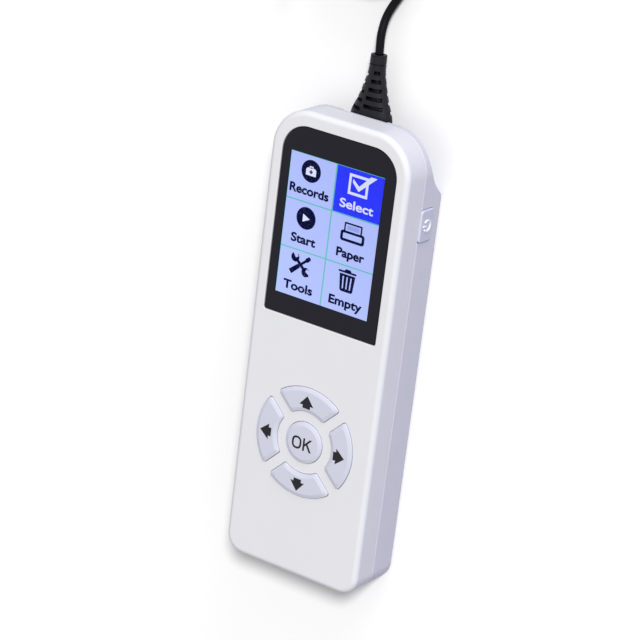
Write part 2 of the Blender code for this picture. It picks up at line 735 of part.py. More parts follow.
def make_display(clear, black, glass, metal, film):
    window = rounded_rectangle(window_edges, window_radii, 0, TOP_CORNER_STEPS)
    add("screen_window", prism(window, window_bottom_z, window_top_z), clear)
    taped = rounded_rectangle(window_edges, window_radii, TAPE_MARGIN, TOP_CORNER_STEPS)
    tape = add("window_tape", prism(taped, tape_bottom_z, tape_top_z), black)
    cut(tape, box(grown(glass_edges, TAPE_MARGIN), tape_bottom_z - OVERRUN, tape_top_z + OVERRUN))
    add("lcd_glass", box(glass_edges, tray_top_z + GAP, window_bottom_z - GAP), glass)
    add("lcd_tray", box(tray_edges, tray_bottom_z, tray_top_z), metal)

    foam = grown(tray_edges, -FOAM_MARGIN)
    add("lcd_foam", box(foam, board_top_z + GAP, tray_bottom_z - GAP), black)
    connector_y = tray_edges[2] + CONNECTOR_MARGIN
    low_x, high_x = -LCD_OFFSET - RIBBON_WIDTH / 2, -LCD_OFFSET + RIBBON_WIDTH / 2
    connector = (low_x, high_x, connector_y, connector_y + CONNECTOR_LENGTH)
    connector_z = board_top_z + GAP
    add("ribbon_connector", box(connector, connector_z, connector_z + CONNECTOR_HEIGHT), black)

    high_z = tray_top_z - RIBBON_INLET
    low_z = connector_z + CONNECTOR_HEIGHT / 2
    bend_y = tray_edges[2] - RIBBON_REACH
    bend_z = (high_z + low_z) / 2
    bend = (high_z - low_z) / 2
    turn = np.linspace(math.pi / 2, 3 * math.pi / 2, 2 * SMALL_CORNER_STEPS + 1)

    def side(shift):
        """One face of the folded strip, from the tray round to the connector."""
        reach = bend + shift
        points = [(tray_edges[2] - GAP, high_z + shift)]
        points += [(bend_y + reach * math.cos(a), bend_z + reach * math.sin(a)) for a in turn]
        return points + [(connector_y - GAP, low_z - shift)]

    outline = side(RIBBON_THICKNESS / 2) + side(-RIBBON_THICKNESS / 2)[::-1]
    add("lcd_ribbon", bar(outline, low_x + GAP, high_x - GAP), film)


# Main board and what it carries

def make_board(board_green, black, metal):
    side = half_width - WALL - BOARD_MARGIN
    edges = (-side, side, -half_length + BOARD_BOTTOM_MARGIN, half_length - BOARD_TOP_MARGIN)
    outline = rounded_rectangle(edges, (BOARD_CORNER_RADIUS,) * 4)
    board = add("main_board", prism(outline, board_bottom_z, board_top_z), board_green)
    low_z, high_z = board_bottom_z - OVERRUN, board_top_z + OVERRUN
    for x, y in middle_screws:
        cut(board, prism(circle(boss_radius + GAP), low_z, high_z), (x, y, 0))
    for x, y in board_screws:
        cut(board, prism(circle(bore_radius), low_z, high_z), (x, y, 0))

    under_z = board_bottom_z - GAP
    half = PROCESSOR_SIDE / 2
    place = (side - PROCESSOR_FROM_SIDE, socket_low_y - PROCESSOR_DROP, under_z - PROCESSOR_HEIGHT)
    add("processor_chip", box((-half, half, -half, half), 0, PROCESSOR_HEIGHT), black, place)
    radio = (-RADIO_WIDTH / 2, RADIO_WIDTH / 2, -RADIO_LENGTH / 2, RADIO_LENGTH / 2)
    place = (side - RADIO_FROM_SIDE, socket_low_y - RADIO_DROP, under_z - RADIO_HEIGHT)
    add("radio_module", box(radio, 0, RADIO_HEIGHT), metal, place)
    place = (BEEPER_FROM_SIDE - side, socket_low_y - BEEPER_DROP, under_z - BEEPER_HEIGHT)
    beeper = add("beeper", prism(circle(BEEPER_RADIUS), 0, BEEPER_HEIGHT), black, place)
    cut(beeper, prism(circle(BEEPER_HOLE_RADIUS), -OVERRUN, BEEPER_HOLE_DEPTH), place)
    place = (CELL_FROM_SIDE - side, socket_low_y - CELL_DROP, under_z - CELL_HEIGHT)
    add("clock_cell", prism(circle(CELL_RADIUS), 0, CELL_HEIGHT), metal, place)


def square_ring(half, z, steps=CIRCLE_STEPS):
    """A square's outline, at the same angles as a circle's points."""
    turn = [2 * math.pi * step / steps for step in range(steps)]
    reach = [half / max(abs(math.cos(a)), abs(math.sin(a))) for a in turn]
    return [(r * math.cos(a), r * math.sin(a), z) for r, a in zip(reach, turn)]


def switch_solid():
    """A square switch body, open at the top for its plunger."""
    half = SWITCH_SIDE / 2
    bore = circle(PLUNGER_RADIUS + GAP)
    rings = [square_ring(half, 0), square_ring(half, SWITCH_HEIGHT)]
    rings += [[(x, y, z) for x, y in bore] for z in (SWITCH_HEIGHT, SWITCH_FLOOR)]
    return loft(rings)


# Keys and power button

def key_solid(outline_of):
    """A key cap: a flange behind the front wall, and a face with a sloping rim."""
    face_z = BODY_DEPTH + KEY_STAND
    levels = ((-KEY_FLANGE_WIDTH, flange_bottom_z), (-KEY_FLANGE_WIDTH, flange_top_z))
    levels += ((0, flange_top_z), (0, BODY_DEPTH), (KEY_RIM, face_z))
    return stack([(outline_of(inset), z) for inset, z in levels])


def make_keys(key_plastic, black, plunger_plastic):
    middle = (0, key_ring_y, 0)
    for name, turn in arrow_keys:
        rotation = Matrix.Rotation(math.radians(turn), 3, "Z")
        key = add(name, key_solid(sector_outline), key_plastic, middle, rotation)
        post = circle(KEY_POST_RADIUS, CIRCLE_STEPS, (key_middle_radius, 0))
        join(key, prism(post, post_bottom_z, flange_bottom_z + EMBED), middle, rotation)
    key = add("key_ok", key_solid(ok_outline), key_plastic, middle)
    join(key, prism(circle(KEY_POST_RADIUS), post_bottom_z, flange_bottom_z + EMBED), middle)

    plunger_bottom_z = switch_bottom_z + SWITCH_FLOOR + GAP + KEY_STROKE
    for name, (x, y) in key_places.items():
        add(f"{name}_switch", switch_solid(), black, (x, y, switch_bottom_z))
        plunger = prism(circle(PLUNGER_RADIUS), plunger_bottom_z, plunger_top_z)
        add(f"{name}_plunger", plunger, plunger_plastic, (x, y, 0))


def make_power_button(button_plastic, black, plunger_plastic):
    place = (0, power_y, power_z)
    flange_x = half_width - WALL - GAP
    back_x = flange_x - POWER_FLANGE_THICKNESS
    face_x = half_width + POWER_STAND
    levels = ((-POWER_FLANGE_WIDTH, back_x), (-POWER_FLANGE_WIDTH, flange_x), (0, flange_x))
    levels += ((0, face_x - POWER_RIM), (POWER_RIM, face_x))
    cap = stack([(power_outline(inset), x) for inset, x in levels])
    button = add("power_button", cap, button_plastic, place, ALONG_X)
    post_x = back_x - POWER_POST_LENGTH
    join(button, prism(circle(KEY_POST_RADIUS), post_x, back_x + EMBED), place, ALONG_X)

    tip_x = post_x - GAP
    front_x = tip_x - PLUNGER_STAND
    rear_x = front_x - POWER_SWITCH_LENGTH
    half = SWITCH_SIDE / 2
    body = box((rear_x, front_x, power_y - half, power_y + half), power_z - half, board_bottom_z - GAP)
    switch = add("power_switch", body, black)
    bore_x = rear_x + SWITCH_FLOOR
    cut(switch, prism(circle(PLUNGER_RADIUS + GAP), bore_x, front_x + OVERRUN), place, ALONG_X)
    plunger = prism(circle(PLUNGER_RADIUS), bore_x + GAP + KEY_STROKE, tip_x)
    add("power_plunger", plunger, plunger_plastic, place, ALONG_X)


# Battery, cover and charging contacts

def make_battery(label_blue, black, cover_plastic):
    low_z, high_z = cover_top_z + GAP, bay_ceiling_z - GAP
    outline = rounded_rectangle(battery_edges, (BATTERY_EDGE_RADIUS,) * 4)
    add("battery_pack", prism(outline, low_z, high_z), label_blue)
    half = CONTACT_WIDTH / 2
    contacts = (-half, half, contact_low_y, contact_low_y + CONTACT_LENGTH)
    add("battery_contacts", box(contacts, low_z + CONTACT_DROP, high_z), black)

    tongue_z = cover_top_z - COVER_TONGUE_THICKNESS
    levels = ((0, cover_bottom_z), (0, tongue_z), (-COVER_TONGUE, tongue_z), (-COVER_TONGUE, cover_top_z))
    cover = add("battery_cover", stack([(cover_outline(inset), z) for inset, z in levels]), cover_plastic)
    for number in range(COVER_GRIP_COUNT):
        y = cover_low_y + COVER_GRIP_FROM_END + number * COVER_GRIP_PITCH
        edges = (-COVER_GRIP_LENGTH / 2, COVER_GRIP_LENGTH / 2, y, y + COVER_GRIP_WIDTH)
        cut(cover, box(edges, cover_bottom_z - OVERRUN, cover_bottom_z + COVER_GRIP_DEPTH))


def make_charging_contacts(brass, black):
    inner_y = -half_length + WALL + GAP
    half = CHARGE_BLOCK_WIDTH / 2
    edges = (-half, half, inner_y, inner_y + CHARGE_BLOCK_LENGTH)
    rise = (rear_top - bay_floor_z) / 2 - GAP
    block = add("charge_block", box(edges, charge_z - rise, charge_z + rise), black)
    pin_y = -half_length + CHARGE_SINK
    for name, way in (("charge_contact_left", -1), ("charge_contact_right", 1)):
        place = (way * CHARGE_SPACING / 2, pin_y, charge_z)
        add(name, prism(circle(CHARGE_RADIUS), 0, CHARGE_LENGTH), brass, place, ALONG_Y)
        cut(block, prism(circle(CHARGE_RADIUS + GAP), 0, CHARGE_LENGTH + GAP), place, ALONG_Y)


# Probe socket, plug and boot

def make_plug(black, rubber):
    half = SOCKET_WIDTH / 2
    edges = (-half, half, socket_low_y, socket_high_y)
    rise = plug_z - WALL - SOCKET_FLOOR_SPACE
    socket = add("probe_socket", box(edges, plug_z - rise, plug_z + rise), black)
    shoulder_y = notch_y + GAP
    depth = PLUG_NOSE_LENGTH + GAP
    bore = prism(circle(plug_nose_radius + GAP), -depth, OVERRUN)
    cut(socket, bore, (0, shoulder_y, plug_z), ALONG_Y)

    nose = circle(plug_nose_radius)
    body = ellipse(PLUG_WIDTH / 2, plug_thickness / 2)
    levels = ((nose, -PLUG_NOSE_LENGTH), (nose, 0), (body, 0), (body, PLUG_LENGTH))
    add("probe_plug", stack(levels), black, (0, shoulder_y, plug_z), ALONG_Y)

    rings = []
    for along, wide, thick in BOOT_STATION_SHARES:
        half_x = COLLAR_RADIUS + (PLUG_WIDTH / 2 - COLLAR_RADIUS) * wide
        half_y = COLLAR_RADIUS + (plug_thickness / 2 - COLLAR_RADIUS) * thick
        rings.append((ellipse(half_x, half_y), along * BOOT_LENGTH))
    boot_y = shoulder_y + PLUG_LENGTH + GAP
    add("plug_boot", stack(rings), rubber, (0, boot_y, plug_z), ALONG_Y)


# Cord, coil and tie

def smooth_points(route, spacing):
    """Points at even steps along a smooth curve through a route's points."""
    points = np.array(route)
    padded = np.vstack([2 * points[0] - points[1], points, 2 * points[-1] - points[-2]])
    fine = []
    for a, b, c, d in zip(padded, padded[1:], padded[2:], padded[3:]):
        for t in np.linspace(0, 1, CURVE_STEPS, endpoint=False):
            cubic = (3 * b - a - 3 * c + d) * t**3 + (2 * a - 5 * b + 4 * c - d) * t**2
            fine.append((cubic + (c - a) * t + 2 * b) / 2)
    fine = np.array(fine + [points[-1]])
    along = np.concatenate([[0], np.cumsum(np.linalg.norm(np.diff(fine, axis=0), axis=1))])
    count = max(2, math.ceil(along[-1] / spacing) + 1)
    even = np.linspace(0, along[-1], count)
    return np.column_stack([np.interp(even, along, fine[:, axis]) for axis in range(3)]), along[-1]


def tube(name, points, resolution, material):
    curve = bpy.data.curves.new(name, "CURVE")
    curve.dimensions = "3D"
    curve.bevel_depth = CORD_DIAMETER / 2
    curve.bevel_resolution = resolution
    curve.use_fill_caps = True
    spline = curve.splines.new("POLY")
    spline.points.add(len(points) - 1)
    for point, place in zip(spline.points, points):
        point.co = (*place, 1)
    curve.materials.append(material)
    piece = bpy.data.objects.new(name, curve)
    bpy.context.scene.collection.objects.link(piece)
    return piece


coil_start = math.radians(COIL_START_ANGLE)
coil_middle = (
    COIL_START[0] - COIL_OUTER_RADIUS * math.cos(coil_start),
    COIL_START[1] - COIL_OUTER_RADIUS * math.sin(coil_start),
)


def coil_points():
    """The coil's middle line: it spirals in and out again in each pair of layers, and
    climbs a layer in the half turn where it reverses. Its ends run straight."""
    turns = COIL_STEPS / COIL_STEPS_A_TURN
    layer_turns = turns / COIL_LAYERS
    points = []
    for step in range(COIL_STEPS + 1):
        turn = step / COIL_STEPS_A_TURN
        layer, part = divmod(min(turn / layer_turns, COIL_LAYERS), 1)
        inwards = part if layer % 2 == 0 else 1 - part
        radius = COIL_OUTER_RADIUS - (COIL_OUTER_RADIUS - COIL_INNER_RADIUS) * inwards
        level = 0.0
        for climb in range(1, COIL_LAYERS):
            way = min(max((turn - climb * layer_turns) * 2 + 0.5, 0), 1)
            level += way * way * (3 - 2 * way)
        angle = coil_start + 2 * math.pi * turn
        x = coil_middle[0] + radius * math.cos(angle)
        y = coil_middle[1] + radius * math.sin(angle)
        points.append(np.array([x, y, COIL_LIFT + CORD_DIAMETER / 2 + level * COIL_LAYER_PITCH]))
    headings = [
        np.array([-math.sin(angle), math.cos(angle), 0])
        for angle in (coil_start, coil_start + 2 * math.pi * turns)
    ]
    start = points[0] - CORD_DIAMETER * headings[0]
    end = points[-1] + CORD_DIAMETER * headings[1]
    return np.array([start, *points, end])


def least_gap(points):
    """The least distance between a tube's turns, less its diameter, measured on points."""
    apart = COIL_STEPS_A_TURN // 2
    least = min(
        np.linalg.norm(points[i + apart :] - points[i], axis=1).min()
        for i in range(len(points) - apart)
    )
    return least - CORD_DIAMETER


def make_cord(rubber, strap):
    coil = coil_points()
    start_way = (coil[0] - coil[1]) / np.linalg.norm(coil[0] - coil[1])
    end_way = (coil[-1] - coil[-2]) / np.linalg.norm(coil[-1] - coil[-2])
    lead_end = coil[0] + GAP * start_way
    tail_start = coil[-1] + GAP * end_way
    probe_end = np.array([PROBE_X, PROBE_Y + GAP, PROBE_RADIUS])
    straight = np.array([0, CORD_DIAMETER, 0])
    lead_route = [*LEAD_ROUTE, lead_end + CORD_DIAMETER * start_way, lead_end]
    tail_second = tail_start + CORD_DIAMETER * end_way
    tail_route = [tail_start, tail_second, *TAIL_ROUTE, probe_end + straight, probe_end]
    lead, lead_length = smooth_points(lead_route, CORD_POINT_SPACING)
    tail, tail_length = smooth_points(tail_route, CORD_POINT_SPACING)
    tube("probe_cord_lead", lead, 2, rubber)
    tube("probe_cord_coil", coil, 1, rubber)
    tube("probe_cord_tail", tail, 2, rubber)
    coil_length = np.linalg.norm(np.diff(coil, axis=0), axis=1).sum()
    print(f"cord lengths in metres: lead {lead_length:.4f}, coil {coil_length:.4f}, tail {tail_length:.4f}")
    print(f"least gap between the coil's turns: {1000 * least_gap(coil):.3f} mm")

    radius = CORD_DIAMETER / 2
    bow = COIL_INNER_RADIUS - math.sqrt(COIL_INNER_RADIUS**2 - (TIE_WIDTH / 2) ** 2)
    top_z = COIL_LIFT + CORD_DIAMETER + (COIL_LAYERS - 1) * COIL_LAYER_PITCH
    inner = (
        COIL_INNER_RADIUS - radius - bow - 2 * GAP,
        COIL_OUTER_RADIUS + radius + GAP,
        COIL_LIFT - GAP,
        top_z + GAP,
    )

    def tie_outline(inset):
        return rounded_rectangle(inner, (TIE_CORNER_RADIUS,) * 4, inset)

    solid = band(tie_outline, -TIE_THICKNESS, 0, -TIE_WIDTH / 2, TIE_WIDTH / 2)
    angle = math.radians(TIE_ANGLE)
    outwards = Vector((math.cos(angle), math.sin(angle), 0))
    up = Vector((0, 0, 1))
    rotation = Matrix((outwards, up, outwards.cross(up))).transposed()
    add("cord_tie", solid, strap, (*coil_middle, 0), rotation)


# Ear probe

def make_ear_probe(grey, rubber, white, silicone):
    y = PROBE_Y
    for name, length, shares, material in (
        ("probe_boot", PROBE_BOOT_LENGTH, PROBE_BOOT_SHARES, rubber),
        ("probe_body", PROBE_LENGTH, PROBE_BODY_SHARES, grey),
    ):
        profile = [(share * PROBE_RADIUS, along * length) for along, share in shares]
        add(name, turned(profile), material, (PROBE_X, y, PROBE_RADIUS), AGAINST_Y)
        y -= length + GAP

    profile = [(share * PROBE_RADIUS, along * NOSE_CONE_LENGTH) for along, share in NOSE_CONE_SHARES]
    end = NOSE_CONE_LENGTH + NOZZLE_LENGTH
    profile += [(NOZZLE_RADIUS, NOSE_CONE_LENGTH), (NOZZLE_RADIUS, end)]
    profile += [(NOZZLE_BORE_RADIUS, end), (NOZZLE_BORE_RADIUS, NOSE_CONE_LENGTH)]
    add("probe_nose", turned(profile), white, (PROBE_X, y, PROBE_RADIUS), AGAINST_Y)

    y -= NOSE_CONE_LENGTH + GAP
    spread = TIP_RADIUS - TIP_STEM_RADIUS
    profile = [(TIP_STEM_RADIUS + share * spread, along * TIP_LENGTH) for along, share in TIP_CAP_SHARES]
    profile += [(NOZZLE_RADIUS + GAP, TIP_LENGTH), (NOZZLE_RADIUS + GAP, 0)]
    add("ear_tip", turned(profile, closed=True), silicone, (PROBE_X, y, PROBE_RADIUS), AGAINST_Y)


def main():
    for old in list(bpy.data.objects):
        bpy.data.objects.remove(old)

    white = make_material("white_shell", "#E2E2E6", 0.45)
    lavender = make_material("rear_shell", "#C9CADB", 0.45)
    key_plastic = make_material("key_plastic", "#D1D4E6", 0.40)
    black = make_material("black_plastic", "#26262D", 0.40)
    rubber = make_material("black_rubber", "#26262E", 0.55)
    clear = make_material("window", "#26262D", 0.10)
    glass = make_material("display_glass", "#B4BEFF", 0.15)
    metal = make_material("sheet_metal", "#B8BABC", 0.35, 1.0)
    brass = make_material("gold_contact", "#C8A24A", 0.30, 1.0)
    film = make_material("ribbon_film", "#B87A2C", 0.50)
    board_green = make_material("board_green", "#1E6B45", 0.45)
    label_blue = make_material("battery_label", "#3A4F7A", 0.50)
    silicone = make_material("silicone", "#6F9FD0", 0.50)

    make_front_shell(white)
    make_rear_shell(lavender)
    make_screws(metal)
    make_display(clear, black, glass, metal, film)
    make_board(board_green, black, metal)
    make_keys(key_plastic, black, white)
    make_power_button(key_plastic, black, white)
    make_battery(label_blue, black, lavender)
    make_charging_contacts(brass, black)
    make_plug(black, rubber)
    make_cord(rubber, black)
    make_ear_probe(lavender, rubber, white, silicone)


main()
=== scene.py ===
import math

import bmesh
import bpy
import numpy as np
from mathutils import Matrix, Vector


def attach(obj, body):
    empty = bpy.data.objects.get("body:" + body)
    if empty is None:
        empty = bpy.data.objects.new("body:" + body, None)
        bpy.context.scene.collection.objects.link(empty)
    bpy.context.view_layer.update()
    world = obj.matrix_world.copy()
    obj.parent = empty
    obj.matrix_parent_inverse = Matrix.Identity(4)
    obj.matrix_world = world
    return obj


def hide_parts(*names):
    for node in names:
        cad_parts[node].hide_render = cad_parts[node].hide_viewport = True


# A handheld newborn hearing screener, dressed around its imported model. +X runs across the
# housing, +Y along it towards the cord, and +Z up, out of its front face, all in metres.
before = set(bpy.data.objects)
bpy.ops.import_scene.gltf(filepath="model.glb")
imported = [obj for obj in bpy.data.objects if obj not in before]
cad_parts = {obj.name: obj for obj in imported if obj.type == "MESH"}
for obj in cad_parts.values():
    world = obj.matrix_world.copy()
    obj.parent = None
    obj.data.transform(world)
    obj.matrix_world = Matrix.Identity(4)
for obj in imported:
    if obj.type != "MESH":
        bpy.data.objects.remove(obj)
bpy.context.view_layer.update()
MM = 0.001


# Camera
# The photograph is taken from the right and above with a long lens, so the housing shows
# its face, its right side and a little of its thin top end.
CAMERA_PLACE = (0.551087, 0.387216, 0.898616)
CAMERA_ANGLES = (-15.434274, 34.424441, 8.067926)
LENS_MM = 158.974
SENSOR_MM = 36

camera_turn = [math.radians(angle) for angle in CAMERA_ANGLES]
bpy.ops.object.camera_add(location=CAMERA_PLACE, rotation=camera_turn)
camera = bpy.context.object
camera.data.lens = LENS_MM
camera.data.sensor_width = SENSOR_MM
bpy.context.scene.camera = camera
bpy.context.scene.view_settings.view_transform = "Standard"


# Probe cord
# A round two-core cable in soft black PVC with a satin, very lightly pebbled jacket. It
# leaves the boot, sinks to the table and lies in a tied coil outside the picture.
CORD_DIAMETER = 3.3 * MM
CORD_LEAD = (
    (0.0, 118.6, 7.4), (-0.2, 121.9, 7.35), (-0.5, 125.3, 7.0), (-0.6, 128.7, 6.2),
    (-0.4, 132.1, 5.2), (0.6, 135.8, 4.2), (2.3, 139.5, 3.4), (4.4, 143.3, 2.9),
    (6.8, 147.2, 2.7),
)
COIL_START = (11.8, 156.4)
COIL_START_ANGLE = math.radians(-35)
COIL_RADII = (22.4, 14.4)
COIL_LAYERS = 4
COIL_PITCH = 3.8
COIL_STEPS_A_TURN = 24
COIL_STEPS = 197
COIL_LIFT = 1.1
CORD_TAIL = (
    (3.6, 192.0, 14.1), (0.2, 195.8, 13.4), (-4.0, 199.6, 11.6), (-9.2, 203.0, 9.0),
    (-15.2, 205.6, 6.4), (-21.8, 207.0, 4.3), (-28.4, 206.6, 3.0), (-34.6, 204.4, 2.6),
    (-39.9, 200.4, 3.0), (-43.6, 195.0, 4.0), (-45.5, 189.4, 5.0),
)
CORD_END = ((-46.0, 186.6, 5.5), (-46.0, 183.3, 5.5))
LEAD_SPACING = 1.6
COIL_SPACING = 2.4
CURVE_STEPS = 12
coil_middle = (
    COIL_START[0] - COIL_RADII[0] * math.cos(COIL_START_ANGLE),
    COIL_START[1] - COIL_RADII[0] * math.sin(COIL_START_ANGLE),
)


def coil_route():
    """The coil's middle line in millimetres: in and out in turn, a layer higher each time."""
    turns = COIL_STEPS / COIL_STEPS_A_TURN
    layer_turns = turns / COIL_LAYERS
    points = []
    for step in range(COIL_STEPS + 1):
        turn = step / COIL_STEPS_A_TURN
        layer, part = divmod(min(turn / layer_turns, COIL_LAYERS), 1)
        inwards = part if layer % 2 == 0 else 1 - part
        radius = COIL_RADII[0] - (COIL_RADII[0] - COIL_RADII[1]) * inwards
        level = 0.0
        for climb in range(1, COIL_LAYERS):
            way = min(max((turn - climb * layer_turns) * 2 + 0.5, 0), 1)
            level += way * way * (3 - 2 * way)
        angle = COIL_START_ANGLE + 2 * math.pi * turn
        x = coil_middle[0] + radius * math.cos(angle)
        y = coil_middle[1] + radius * math.sin(angle)
        points.append((x, y, COIL_LIFT + CORD_DIAMETER / MM / 2 + level * COIL_PITCH))
    return points


def smooth_route(route, spacing):
    """Points at even steps along a smooth curve through a route's points."""
    points = np.array(route)
    padded = np.vstack([2 * points[0] - points[1], points, 2 * points[-1] - points[-2]])
    fine = []
    for a, b, c, d in zip(padded, padded[1:], padded[2:], padded[3:]):
        for t in np.linspace(0, 1, CURVE_STEPS, endpoint=False):
            cubic = (3 * b - a - 3 * c + d) * t**3 + (2 * a - 5 * b + 4 * c - d) * t**2
            fine.append((cubic + (c - a) * t + 2 * b) / 2)
    fine = np.array(fine + [points[-1]])
    along = np.concatenate([[0], np.cumsum(np.linalg.norm(np.diff(fine, axis=0), axis=1))])
    even = np.linspace(0, along[-1], math.ceil(along[-1] / spacing) + 1)
    return np.column_stack([np.interp(even, along, fine[:, axis]) for axis in range(3)])


cord_points = np.vstack([
    smooth_route([*CORD_LEAD, coil_route()[0]], LEAD_SPACING)[:-1],
    smooth_route(coil_route(), COIL_SPACING)[:-1],
    smooth_route([coil_route()[-1], *CORD_TAIL, *CORD_END], COIL_SPACING),
])
bpy.ops.object.select_all(action="DESELECT")
bpy.ops.curve.primitive_bezier_curve_add()
cord = bpy.context.object
cord.name = "probe_cord"
cord.data.splines.clear()
spline = cord.data.splines.new("POLY")
spline.points.add(len(cord_points) - 1)
weighted = np.column_stack([cord_points * MM, np.ones(len(cord_points))])
spline.points.foreach_set("co", weighted.ravel())
cord.data.bevel_depth = CORD_DIAMETER / 2
cord.data.bevel_resolution = 5
cord.data.use_fill_caps = True
bpy.ops.object.convert(target="MESH")
cord = bpy.context.object
bpy.ops.object.shade_smooth()
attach(cord, "housing")
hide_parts("probe_cord_lead", "probe_cord_coil", "probe_cord_tail")


def linear(colour):
    """A hex colour as linear red, green and blue, with full cover."""
    values = [int(colour[k : k + 2], 16) / 255 for k in (1, 3, 5)]
    return (*[v / 12.92 if v <= 0.04045 else ((v + 0.055) / 1.055) ** 2.4 for v in values], 1)


def add_node(owner, kind, sockets=None, **settings):
    """Adds a node with its settings, and fills its sockets with values or with links."""
    node = owner.node_tree.nodes.new(kind)
    for name, value in settings.items():
        setattr(node, name, value)
    for name, value in (sockets or {}).items():
        if isinstance(value, bpy.types.NodeSocket):
            owner.node_tree.links.new(value, node.inputs[name])
        else:
            node.inputs[name].default_value = value
    return node


PATCHES_A_METRE = 60
ROUGHNESS_SWING = 0.12


def finish(name, colour, roughness, grain, relief, second, **shader_values):
    """A solid finish with a fine grain: its size and height are in millimetres, and its
    second colour shows in broad, faint patches."""
    material = bpy.data.materials.new(name)
    material.use_nodes = True
    shader = material.node_tree.nodes["Principled BSDF"]
    place = add_node(material, "ShaderNodeTexCoord").outputs["Object"]
    fine = add_node(
        material, "ShaderNodeTexNoise",
        {"Vector": place, "Scale": 1 / (grain * MM), "Detail": 3},
    )
    broad = add_node(
        material, "ShaderNodeTexNoise",
        {"Vector": place, "Scale": PATCHES_A_METRE, "Detail": 2},
    )
    tone = add_node(
        material, "ShaderNodeMix",
        {0: broad.outputs["Fac"], 6: linear(colour), 7: linear(second)},
        data_type="RGBA",
    )
    swing = {
        "Value": fine.outputs["Fac"], "To Min": roughness * (1 - ROUGHNESS_SWING),
        "To Max": roughness * (1 + ROUGHNESS_SWING),
    }
    rough = add_node(material, "ShaderNodeMapRange", swing)
    bump = add_node(
        material, "ShaderNodeBump",
        {"Height": fine.outputs["Fac"], "Distance": relief * MM, "Strength": 1},
    )
    links = material.node_tree.links
    links.new(tone.outputs[2], shader.inputs["Base Color"])
    links.new(rough.outputs["Result"], shader.inputs["Roughness"])
    links.new(bump.outputs["Normal"], shader.inputs["Normal"])
    for socket, value in shader_values.items():
        shader.inputs[socket.replace("_", " ")].default_value = value
    return material


# Plasticised PVC, extruded over the cores: black with a satin sheen and a faint pebble.
cord_pvc = finish("cord_pvc", "#09090D", 0.45, 0.5, 0.012, "#0C0C10", Specular_IOR_Level=0.10)
cord.data.materials.append(cord_pvc)


# Table and light
# A white sweep under soft studio light from beyond the top end. It keeps the soft shadow,
# and what it throws back on the object is faintly violet, as the housing's sides show.
TABLE_WHITE = "#FFFFFF"
TABLE_BOUNCE = "#6C6C9C"
TABLE_SIZE = 8
KEY_FROM = (0.63, 0.715, 1.0)
KEY_SPREAD = math.radians(11)
KEY_STRENGTH = 2.33
END_PLACE = (0.42, 1.25, 0.32)
END_TARGET = (0, 0, 0.013)
END_SIZE = 0.7
END_POWER = 5.6
WORLD_STRENGTH = 0.44

bpy.ops.object.select_all(action="DESELECT")
bpy.ops.mesh.primitive_plane_add(size=TABLE_SIZE)
table = bpy.context.object
table.name = "table"


def light_path(owner):
    """One where a ray comes from the camera, a mirror or clear glass, and nought elsewhere."""
    path = add_node(owner, "ShaderNodeLightPath").outputs
    pair = {0: path["Is Camera Ray"], 1: path["Is Glossy Ray"]}
    seen = add_node(owner, "ShaderNodeMath", pair, operation="MAXIMUM")
    both = {0: seen.outputs[0], 1: path["Is Transmission Ray"]}
    return add_node(owner, "ShaderNodeMath", both, operation="MAXIMUM").outputs[0]


table_paint = bpy.data.materials.new("table_paint")
table_paint.use_nodes = True
table_paint.node_tree.nodes.clear()
bounce = add_node(table_paint, "ShaderNodeBsdfDiffuse", {"Color": linear(TABLE_BOUNCE)})
white = add_node(table_paint, "ShaderNodeBsdfDiffuse", {"Color": linear(TABLE_WHITE)})
sides = {0: light_path(table_paint), 1: bounce.outputs[0], 2: white.outputs[0]}
table_mix = add_node(table_paint, "ShaderNodeMixShader", sides)
add_node(table_paint, "ShaderNodeOutputMaterial", {"Surface": table_mix.outputs[0]})
table.data.materials.append(table_paint)

world = bpy.context.scene.world or bpy.data.worlds.new("studio")
bpy.context.scene.world = world
world.use_nodes = True
world.node_tree.nodes.clear()
strength = add_node(
    world, "ShaderNodeMapRange",
    {"Value": light_path(world), "To Min": WORLD_STRENGTH, "To Max": 1.0},
)
sky = add_node(
    world, "ShaderNodeBackground",
    {"Color": (1, 1, 1, 1), "Strength": strength.outputs["Result"]},
)
add_node(world, "ShaderNodeOutputWorld", {"Surface": sky.outputs[0]})

key_turn = Vector(KEY_FROM).to_track_quat("Z", "Y").to_euler()
bpy.ops.object.light_add(type="SUN", location=KEY_FROM, rotation=key_turn)
key_lamp = bpy.context.object
key_lamp.name = "key_lamp"
key_lamp.data.angle = KEY_SPREAD
key_lamp.data.energy = KEY_STRENGTH
end_turn = (Vector(END_PLACE) - Vector(END_TARGET)).to_track_quat("Z", "Y").to_euler()
bpy.ops.object.light_add(type="AREA", location=END_PLACE, rotation=end_turn)
end_lamp = bpy.context.object
end_lamp.name = "end_lamp"
end_lamp.data.shape = "DISK"
end_lamp.data.size = END_SIZE
end_lamp.data.energy = END_POWER


# Rear shell
# The lower half of the housing, injection moulded in pale ABS. Its top end thins over a
# cove, behind which the probe's plug goes in, and six screws pass up through it.
HALF_WIDTH = 31.8
HALF_LENGTH = 94.5
TOP_CORNER = 16.5
BOTTOM_CORNER = 8.0
WALL = 2.2
REAR_TOP = 14.3
NOSE_Z = 11.4
COVE_CENTRE = (88.4, -10.6)
COVE_RADIUS = 22.0
RIDGE_RADIUS = 7.0
CASE_SCREWS = (
    (-21.76, 86.27, 12.9), (21.76, 86.27, 12.9), (-25.8, -2.0, 6.9), (25.8, -2.0, 6.9),
    (-25.21, -87.91, 6.9), (25.21, -87.91, 6.9),
)
COLUMN_RADIUS = 3.4
BORE_RADIUS = 1.4
HEAD_BORE_RADIUS = 2.5
POWER_PLACE = (0, 58.8, 10.15)
CONTACT_X = 7
CONTACT_Z = 8.925
TOUCHING = 0.002 * MM
SHARP_ANGLE = math.radians(32)
ALONG_X = Matrix(((0, 0, 1), (1, 0, 0), (0, 1, 0)))
